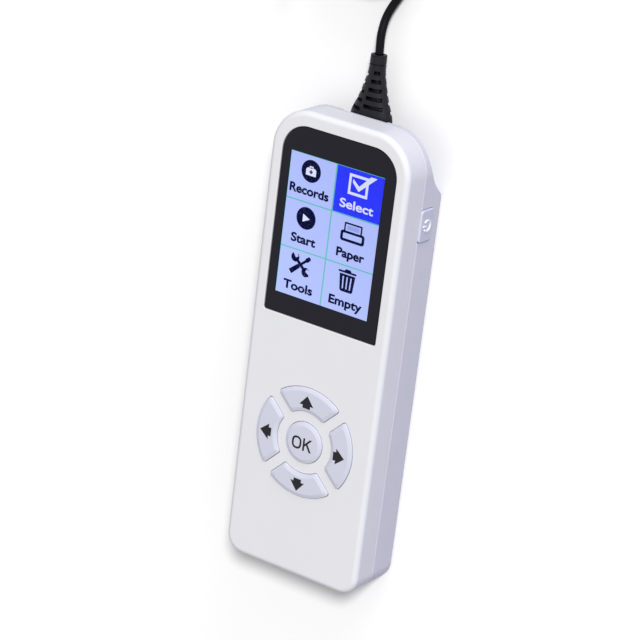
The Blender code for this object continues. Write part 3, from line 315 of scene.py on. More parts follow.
ALONG_Y = Matrix(((1, 0, 0), (0, 0, 1), (0, -1, 0)))
AGAINST_Y = Matrix(((1, 0, 0), (0, 0, -1), (0, 1, 0)))


def only(piece):
    """Selects one piece and nothing else."""
    bpy.ops.object.select_all(action="DESELECT")
    piece.select_set(True)
    bpy.context.view_layer.objects.active = piece


def modify(piece, kind, **settings):
    """Gives a piece a modifier and applies it."""
    only(piece)
    modifier = piece.modifiers.new(kind, kind)
    for name, value in settings.items():
        setattr(modifier, name, value)
    bpy.ops.object.modifier_apply(modifier=modifier.name)


def combine(piece, tool, operation):
    modify(piece, "BOOLEAN", object=tool, operation=operation, solver="EXACT")
    bpy.data.objects.remove(tool)


def cut(piece, tool):
    combine(piece, tool, "DIFFERENCE")


def join(piece, tool):
    combine(piece, tool, "UNION")


def settle(piece, turn=Matrix.Identity(3), place=(0, 0, 0)):
    """Turns a piece, moves it by millimetres, and puts its place in its mesh."""
    piece.matrix_world = Matrix.Translation([value * MM for value in place]) @ turn.to_4x4()
    only(piece)
    bpy.ops.object.transform_apply()
    return piece


def block(name, low, high):
    """A box between two corners in millimetres."""
    centre = [(a + b) / 2 * MM for a, b in zip(low, high)]
    size = [(b - a) * MM for a, b in zip(low, high)]
    bpy.ops.mesh.primitive_cube_add(size=1, location=centre, scale=size)
    piece = bpy.context.object
    piece.name = name
    only(piece)
    bpy.ops.object.transform_apply()
    return piece


def bevel(piece, width, steps, test):
    """Rounds the edges of a piece whose lowest and highest corners pass a test."""
    only(piece)
    bpy.ops.object.mode_set(mode="EDIT")
    bpy.ops.mesh.select_mode(type="EDGE")
    bpy.ops.mesh.select_all(action="DESELECT")
    mesh = bmesh.from_edit_mesh(piece.data)
    for edge in mesh.edges:
        corners = np.array([vertex.co for vertex in edge.verts]) / MM
        if test(Vector(corners.min(axis=0)), Vector(corners.max(axis=0))):
            edge.select_set(True)
    bmesh.update_edit_mesh(piece.data)
    bpy.ops.mesh.bevel(offset=width * MM, segments=steps, affect="EDGES", clamp_overlap=False)
    bpy.ops.object.mode_set(mode="OBJECT")


def drawn_up(name, outline, levels):
    """A solid drawn up from a filled ring. Each level gives how far its edge lies inside
    the outline, and its height, in millimetres."""
    bpy.ops.mesh.primitive_circle_add(vertices=len(outline(0)), fill_type="NGON")
    piece = bpy.context.object
    piece.name = name
    only(piece)
    bpy.ops.object.mode_set(mode="EDIT")
    bpy.ops.mesh.select_mode(type="FACE")
    bpy.ops.mesh.select_all(action="SELECT")
    for number, (inset, height) in enumerate(levels):
        if number:
            bpy.ops.mesh.extrude_region_move()
        mesh = bmesh.from_edit_mesh(piece.data)
        top = next(face for face in mesh.faces if face.select)
        for vertex, (x, y) in zip(top.verts, outline(inset)):
            vertex.co = (x * MM, y * MM, height * MM)
        bmesh.update_edit_mesh(piece.data)
    bpy.ops.mesh.select_all(action="SELECT")
    bpy.ops.mesh.normals_make_consistent(inside=False)
    bpy.ops.object.mode_set(mode="OBJECT")
    return piece


def arc(radius, start, end, steps, x=0, y=0):
    """Points on a part of a circle, both ends included."""
    angles = np.linspace(start, end, steps)
    return [(x + radius * math.cos(a), y + radius * math.sin(a)) for a in angles]


def rounded(low_x, high_x, low_y, high_y, radii, steps=8):
    """The outline of a rectangle, whose four radii run from high x and high y to the left."""
    def outline(inset):
        points = []
        for quarter, radius in enumerate(radii):
            x = high_x - radius if quarter in (0, 3) else low_x + radius
            y = high_y - radius if quarter < 2 else low_y + radius
            start = quarter * math.pi / 2
            points += arc(radius - inset, start, start + math.pi / 2, steps + 1, x, y)
        return points
    return outline


def disc(radius, x=0, y=0, steps=40):
    """The outline of a circle."""
    return lambda inset: arc(radius - inset, 0, 2 * math.pi, steps + 1, x, y)[:-1]


body_outline = rounded(
    -HALF_WIDTH, HALF_WIDTH, -HALF_LENGTH, HALF_LENGTH,
    (TOP_CORNER, TOP_CORNER, BOTTOM_CORNER, BOTTOM_CORNER), 16,
)


def housing_block(name, low, high):
    """A block with the housing's outline, its upright corners rounded."""
    piece = block(name, (-HALF_WIDTH, -HALF_LENGTH, low), (HALF_WIDTH, HALF_LENGTH, high))
    bevel(piece, TOP_CORNER, 28, lambda a, b: a.y > 0 and b.z - a.z > 1)
    bevel(piece, BOTTOM_CORNER, 16, lambda a, b: b.y < 1 - HALF_LENGTH and b.z - a.z > 1)
    return piece


def cove(offset):
    """The hollow under the top end, from side to side. An offset moves it into the shell."""
    middle_y, middle_z = COVE_CENTRE
    rise = RIDGE_RADIUS - middle_z
    ridge_y = middle_y - math.sqrt((COVE_RADIUS + RIDGE_RADIUS) ** 2 - rise**2)
    meet = math.atan2(rise, ridge_y - middle_y)
    points = [(ridge_y, -3), (HALF_LENGTH + 3, -3), (HALF_LENGTH + 3, NOSE_Z + offset)]
    points += arc(COVE_RADIUS + offset, math.pi / 2, meet, 28, middle_y, middle_z)
    ridge = arc(RIDGE_RADIUS - offset, meet - math.pi, -math.pi / 2, 10, ridge_y, RIDGE_RADIUS)
    points += ridge[1:]
    piece = drawn_up("cove", lambda inset: points, [(0, -HALF_WIDTH - 3), (0, HALF_WIDTH + 3)])
    return settle(piece, ALONG_X)


def clean(piece):
    """Takes out the faces without area that close cuts leave."""
    mesh = bmesh.new()
    mesh.from_mesh(piece.data)
    bmesh.ops.remove_doubles(mesh, verts=mesh.verts, dist=TOUCHING)
    bmesh.ops.dissolve_degenerate(mesh, dist=TOUCHING, edges=mesh.edges)
    bmesh.ops.triangulate(mesh, faces=[face for face in mesh.faces if len(face.verts) > 4])
    bmesh.ops.dissolve_degenerate(mesh, dist=TOUCHING, edges=mesh.edges)
    mesh.to_mesh(piece.data)
    mesh.free()


def dress(piece, body, materials, stands_for):
    """Shades a finished piece, hangs it on what it rides on, and hides the node it stands for. Its
    materials are given here where the piece has none yet."""
    only(piece)
    bpy.ops.object.shade_smooth_by_angle(angle=SHARP_ANGLE)
    modify(piece, "WEIGHTED_NORMAL", keep_sharp=True, weight=80)
    for material in materials:
        piece.data.materials.append(material)
    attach(piece, body)
    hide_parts(stands_for)


rear = housing_block("rear_shell_moulding", 0, REAR_TOP)
bevel(rear, 1.5, 6, lambda a, b: b.z < 0.01)
bevel(rear, 0.5, 3, lambda a, b: a.z > REAR_TOP - 0.01)
join(rear, drawn_up("lip", body_outline, [(1.3, 12), (1.3, 15.75)]))
cavity = drawn_up("cavity", body_outline, [(WALL, WALL), (WALL, 18)])
cut(cavity, cove(WALL))
cut(rear, cavity)
join(rear, block("bay_walls", (-20.5, -76.5, 1.6), (20.5, -8.2, 14.3)))
join(rear, block("cover_frame", (-22.8, -92.9, 1.6), (22.8, -4.6, 3.6)))
join(rear, block("socket_walls", (-11.9, 64.3, 1.6), (11.9, 92.9, 14.1)))
for x, y, seat in CASE_SCREWS:
    join(rear, drawn_up("column", disc(COLUMN_RADIUS, x, y), [(0, 0.6), (0, REAR_TOP)]))
cut(rear, cove(0))
cut(rear, block("plug_notch", (-10.3, 65.9, -2), (10.3, 98, 12.5)))
cut(rear, settle(drawn_up("plug_hole", disc(3.5), [(0, -4), (0, 2)]), ALONG_Y, (0, 65.9, 7.4)))
cut(rear, block("battery_bay", (-19.3, -75.3, -2), (19.3, -9.4, 13.1)))
cover_recess = rounded(-20.8, 20.8, -100, -6.6, (1.5,) * 4)
cut(rear, drawn_up("cover_recess", cover_recess, [(-0.3, -2), (-0.3, 0), (0, 0.3), (0, 2.4)]))
cut(rear, drawn_up("cover_groove", cover_recess, [(-0.8, 0.9), (-0.8, 2.4)]))
for x, y, seat in CASE_SCREWS:
    cut(rear, drawn_up("screw_bore", disc(BORE_RADIUS, x, y), [(0, 5), (0, 18)]))
    cut(rear, drawn_up("head_bore", disc(HEAD_BORE_RADIUS, x, y), [(0, -2), (0, seat)]))
for side in (-1, 1):
    contact_hole = drawn_up("contact_hole", disc(2.3), [(-0.3, -2), (-0.3, 0), (0, 0.3), (0, 4)])
    cut(rear, settle(contact_hole, ALONG_Y, (CONTACT_X * side, -HALF_LENGTH, CONTACT_Z)))
power_hole = rounded(-6.65, 6.65, -4.4, 4.4, (1.5,) * 4)
power_levels = [(0, HALF_WIDTH - 4), (0, HALF_WIDTH - 0.2)]
power_levels += [(-0.25, HALF_WIDTH + 0.01), (-0.25, HALF_WIDTH + 2)]
cut(rear, settle(drawn_up("power_hole", power_hole, power_levels), ALONG_X, POWER_PLACE))
cut(rear, block("power_slot", (27.6, 52.15, 10.15), (34, 65.45, 18)))
# ABS, injection moulded in a finely eroded tool, which leaves it an even satin. Its colour
# is the front's ABS made darker and bluer: painted shade, for the shade on the housing's sides.
rear_abs_painted_shade = finish("rear_abs_painted_shade", "#CECED8", 0.46, 0.35, 0.004, "#D1D1DB", Specular_IOR_Level=0.38)
dress(rear, "housing", [rear_abs_painted_shade], "rear_shell")


# Front shell
# The upper half, moulded in the same ABS. Its edges are rounded all round, the window is
# glued in its recess, and five keys stand through their openings.
FRONT_BOTTOM = 14.45
BODY_DEPTH = 26.6
CEILING = 24.4
KEY_MIDDLE_Y = -37.5
KEY_RADII = (13.2, 22.75)
KEY_STRIP = 4.9
KEY_CORNER = 1.2
OK_RADIUS = 8.4
ARROW_KEYS = (("key_right", 0), ("key_up", 90), ("key_left", 180), ("key_down", 270))
BOARD_SCREWS = ((-20, 5), (20, 5), (-20, -70), (20, -70))
BOSS_RADIUS = 3.2


def sector(inset):
    """The outline of the right-hand key about the ring's middle: a part of a ring between
    two diagonal strips, with rounded corners."""
    outer = KEY_RADII[1] - inset - KEY_CORNER
    inner = KEY_RADII[0] + inset + KEY_CORNER
    side = KEY_STRIP / 2 + inset + KEY_CORNER
    outer_half = math.pi / 4 - math.asin(side / outer)
    inner_half = math.pi / 4 - math.asin(side / inner)
    points = []
    for radius, middle, start, end in (
        (outer, -outer_half, -3 * math.pi / 4, -outer_half),
        (outer, outer_half, outer_half, 3 * math.pi / 4),
        (inner, inner_half, 3 * math.pi / 4, math.pi + inner_half),
        (inner, -inner_half, math.pi - inner_half, 5 * math.pi / 4),
    ):
        x, y = radius * math.cos(middle), radius * math.sin(middle)
        points += arc(KEY_CORNER, start, end, 9, x, y)
        if middle == -outer_half:
            points += arc(outer + KEY_CORNER, -outer_half, outer_half, 25)[1:-1]
        if middle == inner_half:
            points += arc(inner - KEY_CORNER, inner_half, -inner_half, 25)[1:-1]
    return points


window_outline = rounded(-26.25, 26.25, 11.65, 88.2, (11, 11, 0.8, 0.8), 20)
front = housing_block("front_shell_moulding", FRONT_BOTTOM, BODY_DEPTH)
bevel(front, 2.2, 10, lambda a, b: a.z > BODY_DEPTH - 0.01)
bevel(front, 0.12, 2, lambda a, b: b.z < FRONT_BOTTOM + 0.01)
cut(front, drawn_up("cavity", body_outline, [(WALL, 12), (WALL, 23)]))
key_space = rounded(-HALF_WIDTH, HALF_WIDTH, -HALF_LENGTH, 12.05, (4.4, 4.4, 8, 8))
cut(front, drawn_up("key_space", key_space, [(WALL, 22.4), (WALL, CEILING)]))
lip_levels = [(-0.3, 26.36), (-0.34, 26.5), (-0.5, 26.6), (-0.5, 29)]
cut(front, drawn_up("window_recess", window_outline, [(-0.3, 24.2), *lip_levels]))
cut(front, block("display_opening", (-24.15, 14.9, 21), (22.65, 80.5, 24.8)))
hole_levels = [(-0.3, 21), *lip_levels]
for name, angle in ARROW_KEYS:
    hole = drawn_up(name, sector, hole_levels)
    turn = Matrix.Rotation(math.radians(angle), 3, "Z")
    cut(front, settle(hole, turn, (0, KEY_MIDDLE_Y, 0)))
cut(front, drawn_up("ok_hole", disc(OK_RADIUS, 0, KEY_MIDDLE_Y, 64), hole_levels))
for x, y, seat in CASE_SCREWS:
    boss_levels = [(0, FRONT_BOTTOM), (0, 23.6 if y > 9 else 25)]
    join(front, drawn_up("boss", disc(BOSS_RADIUS, x, y), boss_levels))
    bore_levels = [(0, 12), (0, 19 if seat < 10 else 20)]
    cut(front, drawn_up("bore", disc(BORE_RADIUS, x, y), bore_levels))
for x, y in BOARD_SCREWS:
    join(front, drawn_up("boss", disc(BOSS_RADIUS, x, y), [(0, 17.9), (0, 25)]))
    cut(front, drawn_up("bore", disc(BORE_RADIUS, x, y), [(0, 17), (0, 20.5)]))
lip_space = drawn_up("lip_space", body_outline, [(1.0, 12), (1.0, 16.05)])
cut(lip_space, drawn_up("lip_core", body_outline, [(2.5, 11), (2.5, 17)]))
cut(front, lip_space)
# The same ABS, here in its own tone; the rear shell's darker, bluer colour is painted shade.
# An even satin whose rounded edges catch the light.
front_abs = finish("front_abs", "#DDDDE2", 0.50, 0.35, 0.004, "#E0E0E5", Specular_IOR_Level=0.30)
dress(front, "housing", [front_abs], "front_shell")


# Display window
# A sheet of clear acrylic, cut with rounded upper corners and printed black on its back
# round the lit area. It lies in its recess on a ring of tape.
LIT = (-22.2, 21.3, 19.95, 77.85)
border_levels = [(0, 25.2), (0, 26.3), (0.06, 26.42), (0.22, 26.5)]
border = drawn_up("display_window", window_outline, border_levels)
cut(border, block("aperture", (LIT[0], LIT[2], 24), (LIT[1], LIT[3], 28)))
pane = block("pane", (LIT[0], LIT[2], 26.2), (LIT[1], LIT[3], 26.5))
# Screen print seen through polished acrylic: a deep, even black with a gloss on top.
printed_black = finish("printed_black", "#171720", 0.09, 1.5, 0.0005, "#181821", IOR=1.24)
# Polished acrylic over the lit area: clear, with next to no reflection of its own.
clear_acrylic = finish(
    "clear_acrylic", "#FFFFFF", 0.02, 1.5, 0.0003, "#FAFCFF",
    IOR=1.06, Transmission_Weight=1.0,
)
pane.data.materials.append(printed_black)
pane.data.materials.append(clear_acrylic)
for polygon in pane.data.polygons:
    polygon.material_index = 1
border.data.materials.append(printed_black)


def merge(first, *others):
    """Joins pieces into the first, which keeps each one's materials."""
    only(first)
    for other in others:
        other.select_set(True)
    bpy.ops.object.join()


merge(border, pane)
dress(border, "housing", [], "screen_window")


# Display
# A 2.8 inch liquid crystal display, lit from behind: a glass sandwich in its frame, on
# which a menu of six cells shows, with one of them chosen.
PICTURE = (-22.2, 21.5, 19.8, 77.9)
PICTURE_Z = 26.05
PICTURE_SHIFT = -0.2
LEVEL_STEP = 0.02
COLUMN_X = -0.6
ROWS_Y = (58.8, 39.1)
LINE_HALF = 0.27
DOT_PITCH = 0.18 * MM
DOT_GAP = 0.012 * MM
GAP_TONE = 0.86
BRIGHTEST = 1.16
DIMMEST = 0.96
CASE_MIDDLE = (-12.0, 71.4)
TOOLS_MIDDLE = (-11.8, 33.5)
LETTER_SIZE = 4.9
LETTER_WEIGHT = 0.08
LETTER_LIFT = 0.1
LETTER_STEP = 0.003
BOLD = {"dark": 0.12, "pale": 0.04}


def lit_ink(name, colour):
    """What a lit area of the display gives off. Its dots are 0.18 mm apart, with a slightly
    darker lattice between them, and the back light is brightest at the lower left."""
    material = bpy.data.materials.new(name)
    material.use_nodes = True
    shader = material.node_tree.nodes["Principled BSDF"]
    place = add_node(material, "ShaderNodeTexCoord").outputs["Object"]
    grid = add_node(
        material, "ShaderNodeTexBrick",
        {
            "Vector": place, "Scale": 1, "Mortar Size": DOT_GAP, "Brick Width": DOT_PITCH,
            "Row Height": DOT_PITCH, "Color1": linear(colour), "Color2": linear(colour),
            "Mortar": [GAP_TONE * value for value in linear(colour)[:3]] + [1],
        },
        offset=0,
    )
    along = add_node(
        material, "ShaderNodeMapping",
        {
            "Vector": place, "Location": (22 * MM, -20 * MM, 0),
            "Rotation": (0, 0, math.radians(-50)), "Scale": (14, 14, 14),
        },
        vector_type="POINT",
    )
    fall = add_node(material, "ShaderNodeTexGradient", {"Vector": along.outputs["Vector"]})
    glow = add_node(
        material, "ShaderNodeMapRange",
        {"Value": fall.outputs["Fac"], "To Min": BRIGHTEST, "To Max": DIMMEST},
    )
    links = material.node_tree.links
    links.new(grid.outputs["Color"], shader.inputs["Emission Color"])
    links.new(glow.outputs["Result"], shader.inputs["Emission Strength"])
    shader.inputs["Base Color"].default_value = linear("#08080C")
    shader.inputs["Roughness"].default_value = 0.6
    shader.inputs["Specular IOR Level"].default_value = 0.02
    return material


inks = {
    "cell": lit_ink("lit_cell", "#B2C0FF"),
    "chosen": lit_ink("chosen_cell", "#2C38FF"),
    "line": lit_ink("cell_line", "#66C0B4"),
    "dark": lit_ink("dark_mark", "#050B36"),
    "shade": lit_ink("shaded_sheet", "#96A2EE"),
    "pale": lit_ink("pale_mark", "#DDE2FF"),
}
picture = []


def shown(points, level, ink):
    """A flat area of the picture, on a level of its own so that it covers what is below."""
    height = PICTURE_Z + LEVEL_STEP * level
    bpy.ops.mesh.primitive_circle_add(vertices=len(points), fill_type="NGON")
    area = bpy.context.object
    order = area.data.polygons[0].vertices
    for index, (x, y) in zip(order, points):
        place = ((x + PICTURE_SHIFT) * MM, y * MM, height * MM)
        area.data.vertices[index].co = place
    area.data.materials.append(inks[ink])
    picture.append(area)


def rectangle(x0, x1, y0, y1):
    return [(x1, y1), (x0, y1), (x0, y0), (x1, y0)]


def stroke(ends, width, tip=None):
    """A bar between two points, as wide as given at its start and at its tip."""
    (x0, y0), (x1, y1) = ends
    tip = width if tip is None else tip
    length = math.hypot(x1 - x0, y1 - y0)
    a, b = -(y1 - y0) / length / 2, (x1 - x0) / length / 2
    return [
        (x0 + a * width, y0 + b * width), (x0 - a * width, y0 - b * width),
        (x1 - a * tip, y1 - b * tip), (x1 + a * tip, y1 + b * tip),
    ]


def moved(points, middle):
    return [(middle[0] + x, middle[1] + y) for x, y in points]


# The cells and the lines between them
shown(rectangle(*PICTURE), 0, "cell")
shown(rectangle(COLUMN_X, PICTURE[1], ROWS_Y[0], PICTURE[3]), 1, "chosen")
shown(rectangle(COLUMN_X - 0.3, COLUMN_X + 0.3, *PICTURE[2:]), 2, "line")
for y in (*ROWS_Y, 77.8):
    shown(rectangle(*PICTURE[:2], y - LINE_HALF, y + LINE_HALF), 2, "line")
shown(rectangle(-22.0, -21.85, *PICTURE[2:]), 2, "line")

# Case with a plus, in a disc
shown(disc(4.5, -12.0, 71.5)(0), 3, "dark")
case = [(2.35, 0.7), (1.75, 1.35), (-1.75, 1.35), (-2.35, 0.7), (-2.35, -1.7), (2.35, -1.7)]
shown(moved(case, CASE_MIDDLE), 4, "pale")
shown(moved(rectangle(-0.9, 0.9, 1.2, 2.1), CASE_MIDDLE), 4, "pale")
shown(moved(rectangle(-0.45, 0.45, 1.2, 1.6), CASE_MIDDLE), 5, "dark")
shown(moved(rectangle(-0.8, 0.8, -0.5, 0.05), CASE_MIDDLE), 5, "dark")
shown(moved(rectangle(-0.3, 0.3, -1.0, 0.55), CASE_MIDDLE), 5, "dark")

# Ticked box
shown(rectangle(5.5, 14.5, 67.4, 75.7), 3, "pale")
shown(rectangle(6.6, 13.4, 68.5, 74.6), 4, "chosen")
shown([(7.4, 73.8), (10.4, 71.4), (15.2, 76.5), (18.1, 76.5), (10.4, 69.3), (7.3, 72.3)], 5, "pale")

# Play mark
shown(disc(4.5, -11.8, 52.5)(0), 3, "dark")
shown([(-10.0, 52.4), (-13.3, 54.1), (-13.3, 50.8)], 4, "pale")

# Printer
shown(rounded(4.6, 15.7, 48.6, 52.9, (1.1,) * 4, 4)(0), 3, "dark")
shown(rounded(5.8, 14.5, 49.7, 51.9, (0.4,) * 4, 4)(0), 4, "cell")
shown(rounded(6.0, 14.3, 52.3, 56.3, (0.5,) * 4, 4)(0), 5, "dark")
shown(rectangle(6.7, 13.6, 52.9, 55.6), 6, "cell")
shown(rectangle(7.4, 13.0, 53.4, 55.2), 7, "shade")


def tool_place(points, turned):
    """Points about the middle of the crossed spanner and screwdriver, turned by degrees."""
    x, y = TOOLS_MIDDLE
    cosine, sine = math.cos(math.radians(turned)), math.sin(math.radians(turned))
    return [(x + a * cosine - b * sine, y + a * sine + b * cosine) for a, b in points]


# Crossed spanner and screwdriver
shown(tool_place(stroke([(-2.7, 0), (2.7, 0)], 1.35), -42), 3, "dark")
for side in (-1, 1):
    shown(tool_place(disc(1.95, 3.7 * side, 0, 20)(0), -42), 3, "dark")
    jaw = [(3.3 * side, -0.7), (6.0 * side, -0.9), (6.0 * side, 0.9), (3.3 * side, 0.7)]
    shown(tool_place(jaw[::side], -42 + 14 * side), 4, "cell")
shown(tool_place(stroke([(-5.9, 0), (-0.8, 0)], 2.1, 1.7), 41), 5, "dark")
shown(tool_place(stroke([(-0.9, 0), (4.2, 0)], 1.05), 41), 5, "dark")
shown(tool_place(rounded(2.9, 5.7, -0.85, 0.85, (0.8,) * 4, 4)(0), 41), 5, "dark")

# Bin
shown(rounded(5.8, 14.2, 36.2, 37.0, (0.4,) * 4, 4)(0), 3, "dark")
shown([(11.9, 36.9), (11.3, 37.8), (9.1, 37.8), (8.5, 36.9)], 3, "dark")
shown([(13.8, 35.7), (6.5, 35.7), (7.2, 29.2), (7.8, 28.6), (12.6, 28.6), (13.2, 29.2)], 3, "dark")
for x in (8.3, 10.15, 12.0):
    shown(stroke([(x, 34.8), (x + (10.1 - x) * 0.12, 29.8)], 0.58), 4, "cell")

LABELS = (
    ("Records", -20.9, -2.8, 61.8, "dark"), ("Select", 2.6, 18.0, 61.7, "pale"),
    ("Start", -17.6, -6.2, 42.1, "dark"), ("Paper", 3.8, 16.6, 42.2, "dark"),
    ("Tools", -18.6, -5.0, 22.6, "dark"), ("Empty", 3.0, 18.2, 22.6, "dark"),
)
for word, low_x, high_x, base_y, ink in LABELS:
    bpy.ops.object.text_add()
    label = bpy.context.object
    label.data.body = word
    label.data.size = LETTER_SIZE * MM
    label.data.offset = LETTER_WEIGHT * MM
    only(label)
    bpy.ops.object.convert(target="MESH")
    label = bpy.context.object
    across = [vertex.co.x for vertex in label.data.vertices]
    stretch = (high_x - low_x) * MM / (max(across) - min(across))
    shift = (low_x + PICTURE_SHIFT) * MM - min(across) * stretch
    place = Matrix.Translation((shift, base_y * MM, (PICTURE_Z + LETTER_LIFT) * MM))
    label.matrix_world = place @ Matrix.Diagonal((stretch, 1, 1, 1))
    only(label)
    bpy.ops.object.transform_apply()
    label.data.materials.append(inks[ink])
    picture.append(label)
    # Printed again a little to each side, on levels of their own, for a bolder stroke
    reach = BOLD[ink]
    for number, (x, y) in enumerate(((-reach, 0), (reach, 0), (0, reach), (0, -reach)), 1):
        only(label)
        bpy.ops.object.duplicate()
        picture.append(settle(bpy.context.object, place=(x, y, -LETTER_STEP * number)))

display = block("display_panel", (-23.65, 15.4, 23.0), (22.15, 80.0, 26.0))
bevel(display, 0.2, 2, lambda a, b: a.z > 25.99)
# Polished glass with a dark mask behind it: nearly black round the picture, and glossy.
panel_glass = finish("panel_glass", "#101016", 0.15, 1.0, 0.0005, "#14141A")
display.data.materials.append(panel_glass)
merge(display, *picture)
dress(display, "housing", [], "lcd_glass")


# Keys
# Five caps moulded in a greyer ABS, each with a sloping rim and its mark printed on. A
# flange behind the front wall holds each one, and a post under it meets its switch.
KEY_LEVELS = (
    (-0.9, 23.2), (-0.9, 24.1), (-0.14, 24.1), (-0.14, 26.8), (-0.08, 26.98), (0.08, 27.12),
    (1.0, 27.42), (1.15, 27.5), (1.35, 27.56), (1.6, 27.585),
)
INK_LEVELS = ((0, 27.57), (0, 27.6))
ARROW = (
    (0, 2.7), (-3.35, -1.4), (-1.8, -1.3), (-1.8, -2.6), (1.8, -2.6), (1.8, -1.3),
    (3.35, -1.4),
)
ARROW_OUT = 17.6
MARK_MIDDLE = (-0.4, KEY_MIDDLE_Y - 0.45, 0)
POST_RADIUS = 2.2
# ABS from an eroded tool: a shade greyer and duller than the shell round it.
key_abs = finish("key_abs", "#C9CBDA", 0.52, 0.35, 0.004, "#CCCEDD", Specular_IOR_Level=0.25)
# Pad-printed ink: matt black, with a slight tooth from the key under it.
key_ink = finish("key_ink", "#101016", 0.50, 0.3, 0.003, "#14141A", Specular_IOR_Level=0.25)


def mark(points, turned, out):
    """A flat printed mark on a key, turned about the ring's middle."""
    piece = drawn_up("mark", lambda inset: [(x, y + out) for x, y in points], INK_LEVELS)
    return settle(piece, Matrix.Rotation(math.radians(turned - 90), 3, "Z"), MARK_MIDDLE)


def key(name, outline, angle, post_x, marks):
    """A cap with its post and its printed marks, turned to its place in the ring."""
    cap = drawn_up(f"{name}_cap", outline, KEY_LEVELS)
    join(cap, drawn_up("post", disc(POST_RADIUS, post_x, 0), [(0, 22.4), (0, 23.8)]))
    settle(cap, Matrix.Rotation(math.radians(angle), 3, "Z"), (0, KEY_MIDDLE_Y, 0))
    cap.data.materials.append(key_abs)
    for piece in marks:
        piece.data.materials.append(key_ink)
    merge(cap, *marks)
    dress(cap, name, [], name)


for name, angle in ARROW_KEYS:
    key(name, sector, angle, sum(KEY_RADII) / 2, [mark(ARROW, angle, ARROW_OUT)])
letter_o = rounded(-4.7, -0.2, -2.7, 2.7, (2.05,) * 4, 10)
letter_k = (
    (0.5, -2.7), (1.36, -2.7), (1.36, -0.8), (2.05, -0.1), (3.68, -2.7), (4.75, -2.7),
    (2.7, 0.6), (4.7, 2.7), (3.6, 2.7), (1.36, 0.35), (1.36, 2.7), (0.5, 2.7),
)
letters = [mark(points, 90, 0) for points in (letter_o(0), letter_k)]
counter = drawn_up("counter", letter_o, [(0.86, 20), (0.86, 30)])
cut(letters[0], settle(counter, place=MARK_MIDDLE))
key("key_ok", disc(OK_RADIUS, 0, 0, 72), 0, 0, letters)


# Power button
# A small ABS cap in the side wall under the parting line, with a raised power mark.
POWER_LEVELS = (
    (-1.2, 28.3), (-1.2, 29.3), (-0.1, 29.3), (-0.1, 32.2), (-0.04, 32.36), (0.12, 32.5),
    (0.35, 32.56),
)
MARK_LEVELS = ((0, 32.5), (0, 32.88), (0.1, 33.0))
RING_RADII = (1.85, 2.55)
RING_OPENING = math.radians(38)
power_outline = rounded(-6.35, 6.35, -4.1, 4.1, (1.2,) * 4)
power_cap = drawn_up("power_button_cap", power_outline, POWER_LEVELS)
join(power_cap, drawn_up("post", disc(POST_RADIUS), [(0, 27.8), (0, 28.8)]))


def ring_mark(inset):
    """The open ring of the power mark, whose bar stands in its opening."""
    ends = (math.pi / 2 + RING_OPENING, 5 * math.pi / 2 - RING_OPENING)
    outside = arc(RING_RADII[1] - inset, *ends, 40)
    return outside + arc(RING_RADII[0] + inset, *ends, 40)[::-1]


power_cap.data.materials.append(key_abs)
# The raised mark is coloured near-white all over: a painted highlight, for the light its relief
# catches.
mark_painted_highlight = finish("mark_painted_highlight", "#F3F3F7", 0.50, 0.3, 0.003, "#EFEFF4")
bar_mark = rounded(-0.35, 0.35, 0.5, 3.0, (0.3,) * 4, 4)
marks = [
    drawn_up("ring_mark", ring_mark, MARK_LEVELS),
    drawn_up("bar_mark", bar_mark, MARK_LEVELS),
]
for piece in marks:
    piece.data.materials.append(mark_painted_highlight)
merge(power_cap, *marks)
settle(power_cap, ALONG_X, POWER_PLACE)
dress(power_cap, "power_button", [], "power_button")


# Battery cover
# A flat ABS door in the back, with four grooves for the thumb. It slides towards the
# bottom end on tongues along its sides.
COVER_LEVELS = ((0.25, 0.3), (0.06, 0.36), (0, 0.55), (0, 1.2), (-0.8, 1.2), (-0.8, 2.1))
GRIP_START = -83.5
GRIP_PITCH = 2.5
cover_outline = rounded(-20.5, 20.5, -93.5, -6.9, (1.2,) * 4)
cover = drawn_up("battery_cover_door", cover_outline, COVER_LEVELS)
for number in range(4):
    y = GRIP_START + GRIP_PITCH * number
    grip = rounded(-8, 8, y, y + 1, (0.3,) * 4, 4)
    cut(cover, drawn_up("grip", grip, [(-0.15, -1), (-0.15, 0.3), (0, 0.45), (0, 0.8)]))
# The door takes the rear shell's colour, darkened with painted shade.
dress(cover, "battery_cover", [rear_abs_painted_shade], "battery_cover")


# Strain relief
# A boot moulded in soft TPE over the cord and the plug. Rows of slots, staggered from
# side to side, let its narrow end bend with the cord.
BOOT_START = 83.0
BOOT_LENGTH = 35.3
BOOT_Z = 7.4
COLLAR_RADIUS = 3.15
MOUTH_RADIUS = 2.0
BOOT_HALVES = (9.8, 4.6)
BOOT_SHARES = np.array((
    (0.0, 1.0, 1.0), (0.20, 0.98, 1.0), (0.326, 0.895, 1.0), (0.40, 0.74, 0.92),
    (0.479, 0.549, 0.80), (0.584, 0.35, 0.59), (0.669, 0.232, 0.38), (0.751, 0.108, 0.17),
    (0.82, 0.03, 0.05), (1.0, 0.0, 0.0),
))
SLOT_ROWS = 5
SLOT_START = 28.45
SLOT_PITCH = 3.35
SLOT_LENGTH = 1.6
SLOT_DEPTH = 2.4
SLOT_TURN = 34
# The slots' half-widths and reach in the first row, and what each next row adds
FRONT_HALF = (1.35, 0.59)
SIDE_HALF = (1.3, 0.14)
SIDE_ROUND = (2.55, 0.34)
SIDE_INNER = (1.2, 0.7)


def oval(half_x, half_y):
    """Points on an oval about the origin."""
    angles = np.linspace(0, 2 * math.pi, 64, endpoint=False)
    return [(half_x * math.cos(a), half_y * math.sin(a)) for a in angles]


def boot_form(name, stations, inset):
    """The boot's form about its own axis, through stations along its length."""
    def outline(station):
        halves = []
        for half, shares in zip(BOOT_HALVES, BOOT_SHARES[:, 1:].T):
            share = np.interp(station / BOOT_LENGTH, BOOT_SHARES[:, 0], shares)
            halves.append(COLLAR_RADIUS + (half - COLLAR_RADIUS) * share - inset)
        return oval(*halves)
    return drawn_up(name, outline, [(station, station) for station in stations])


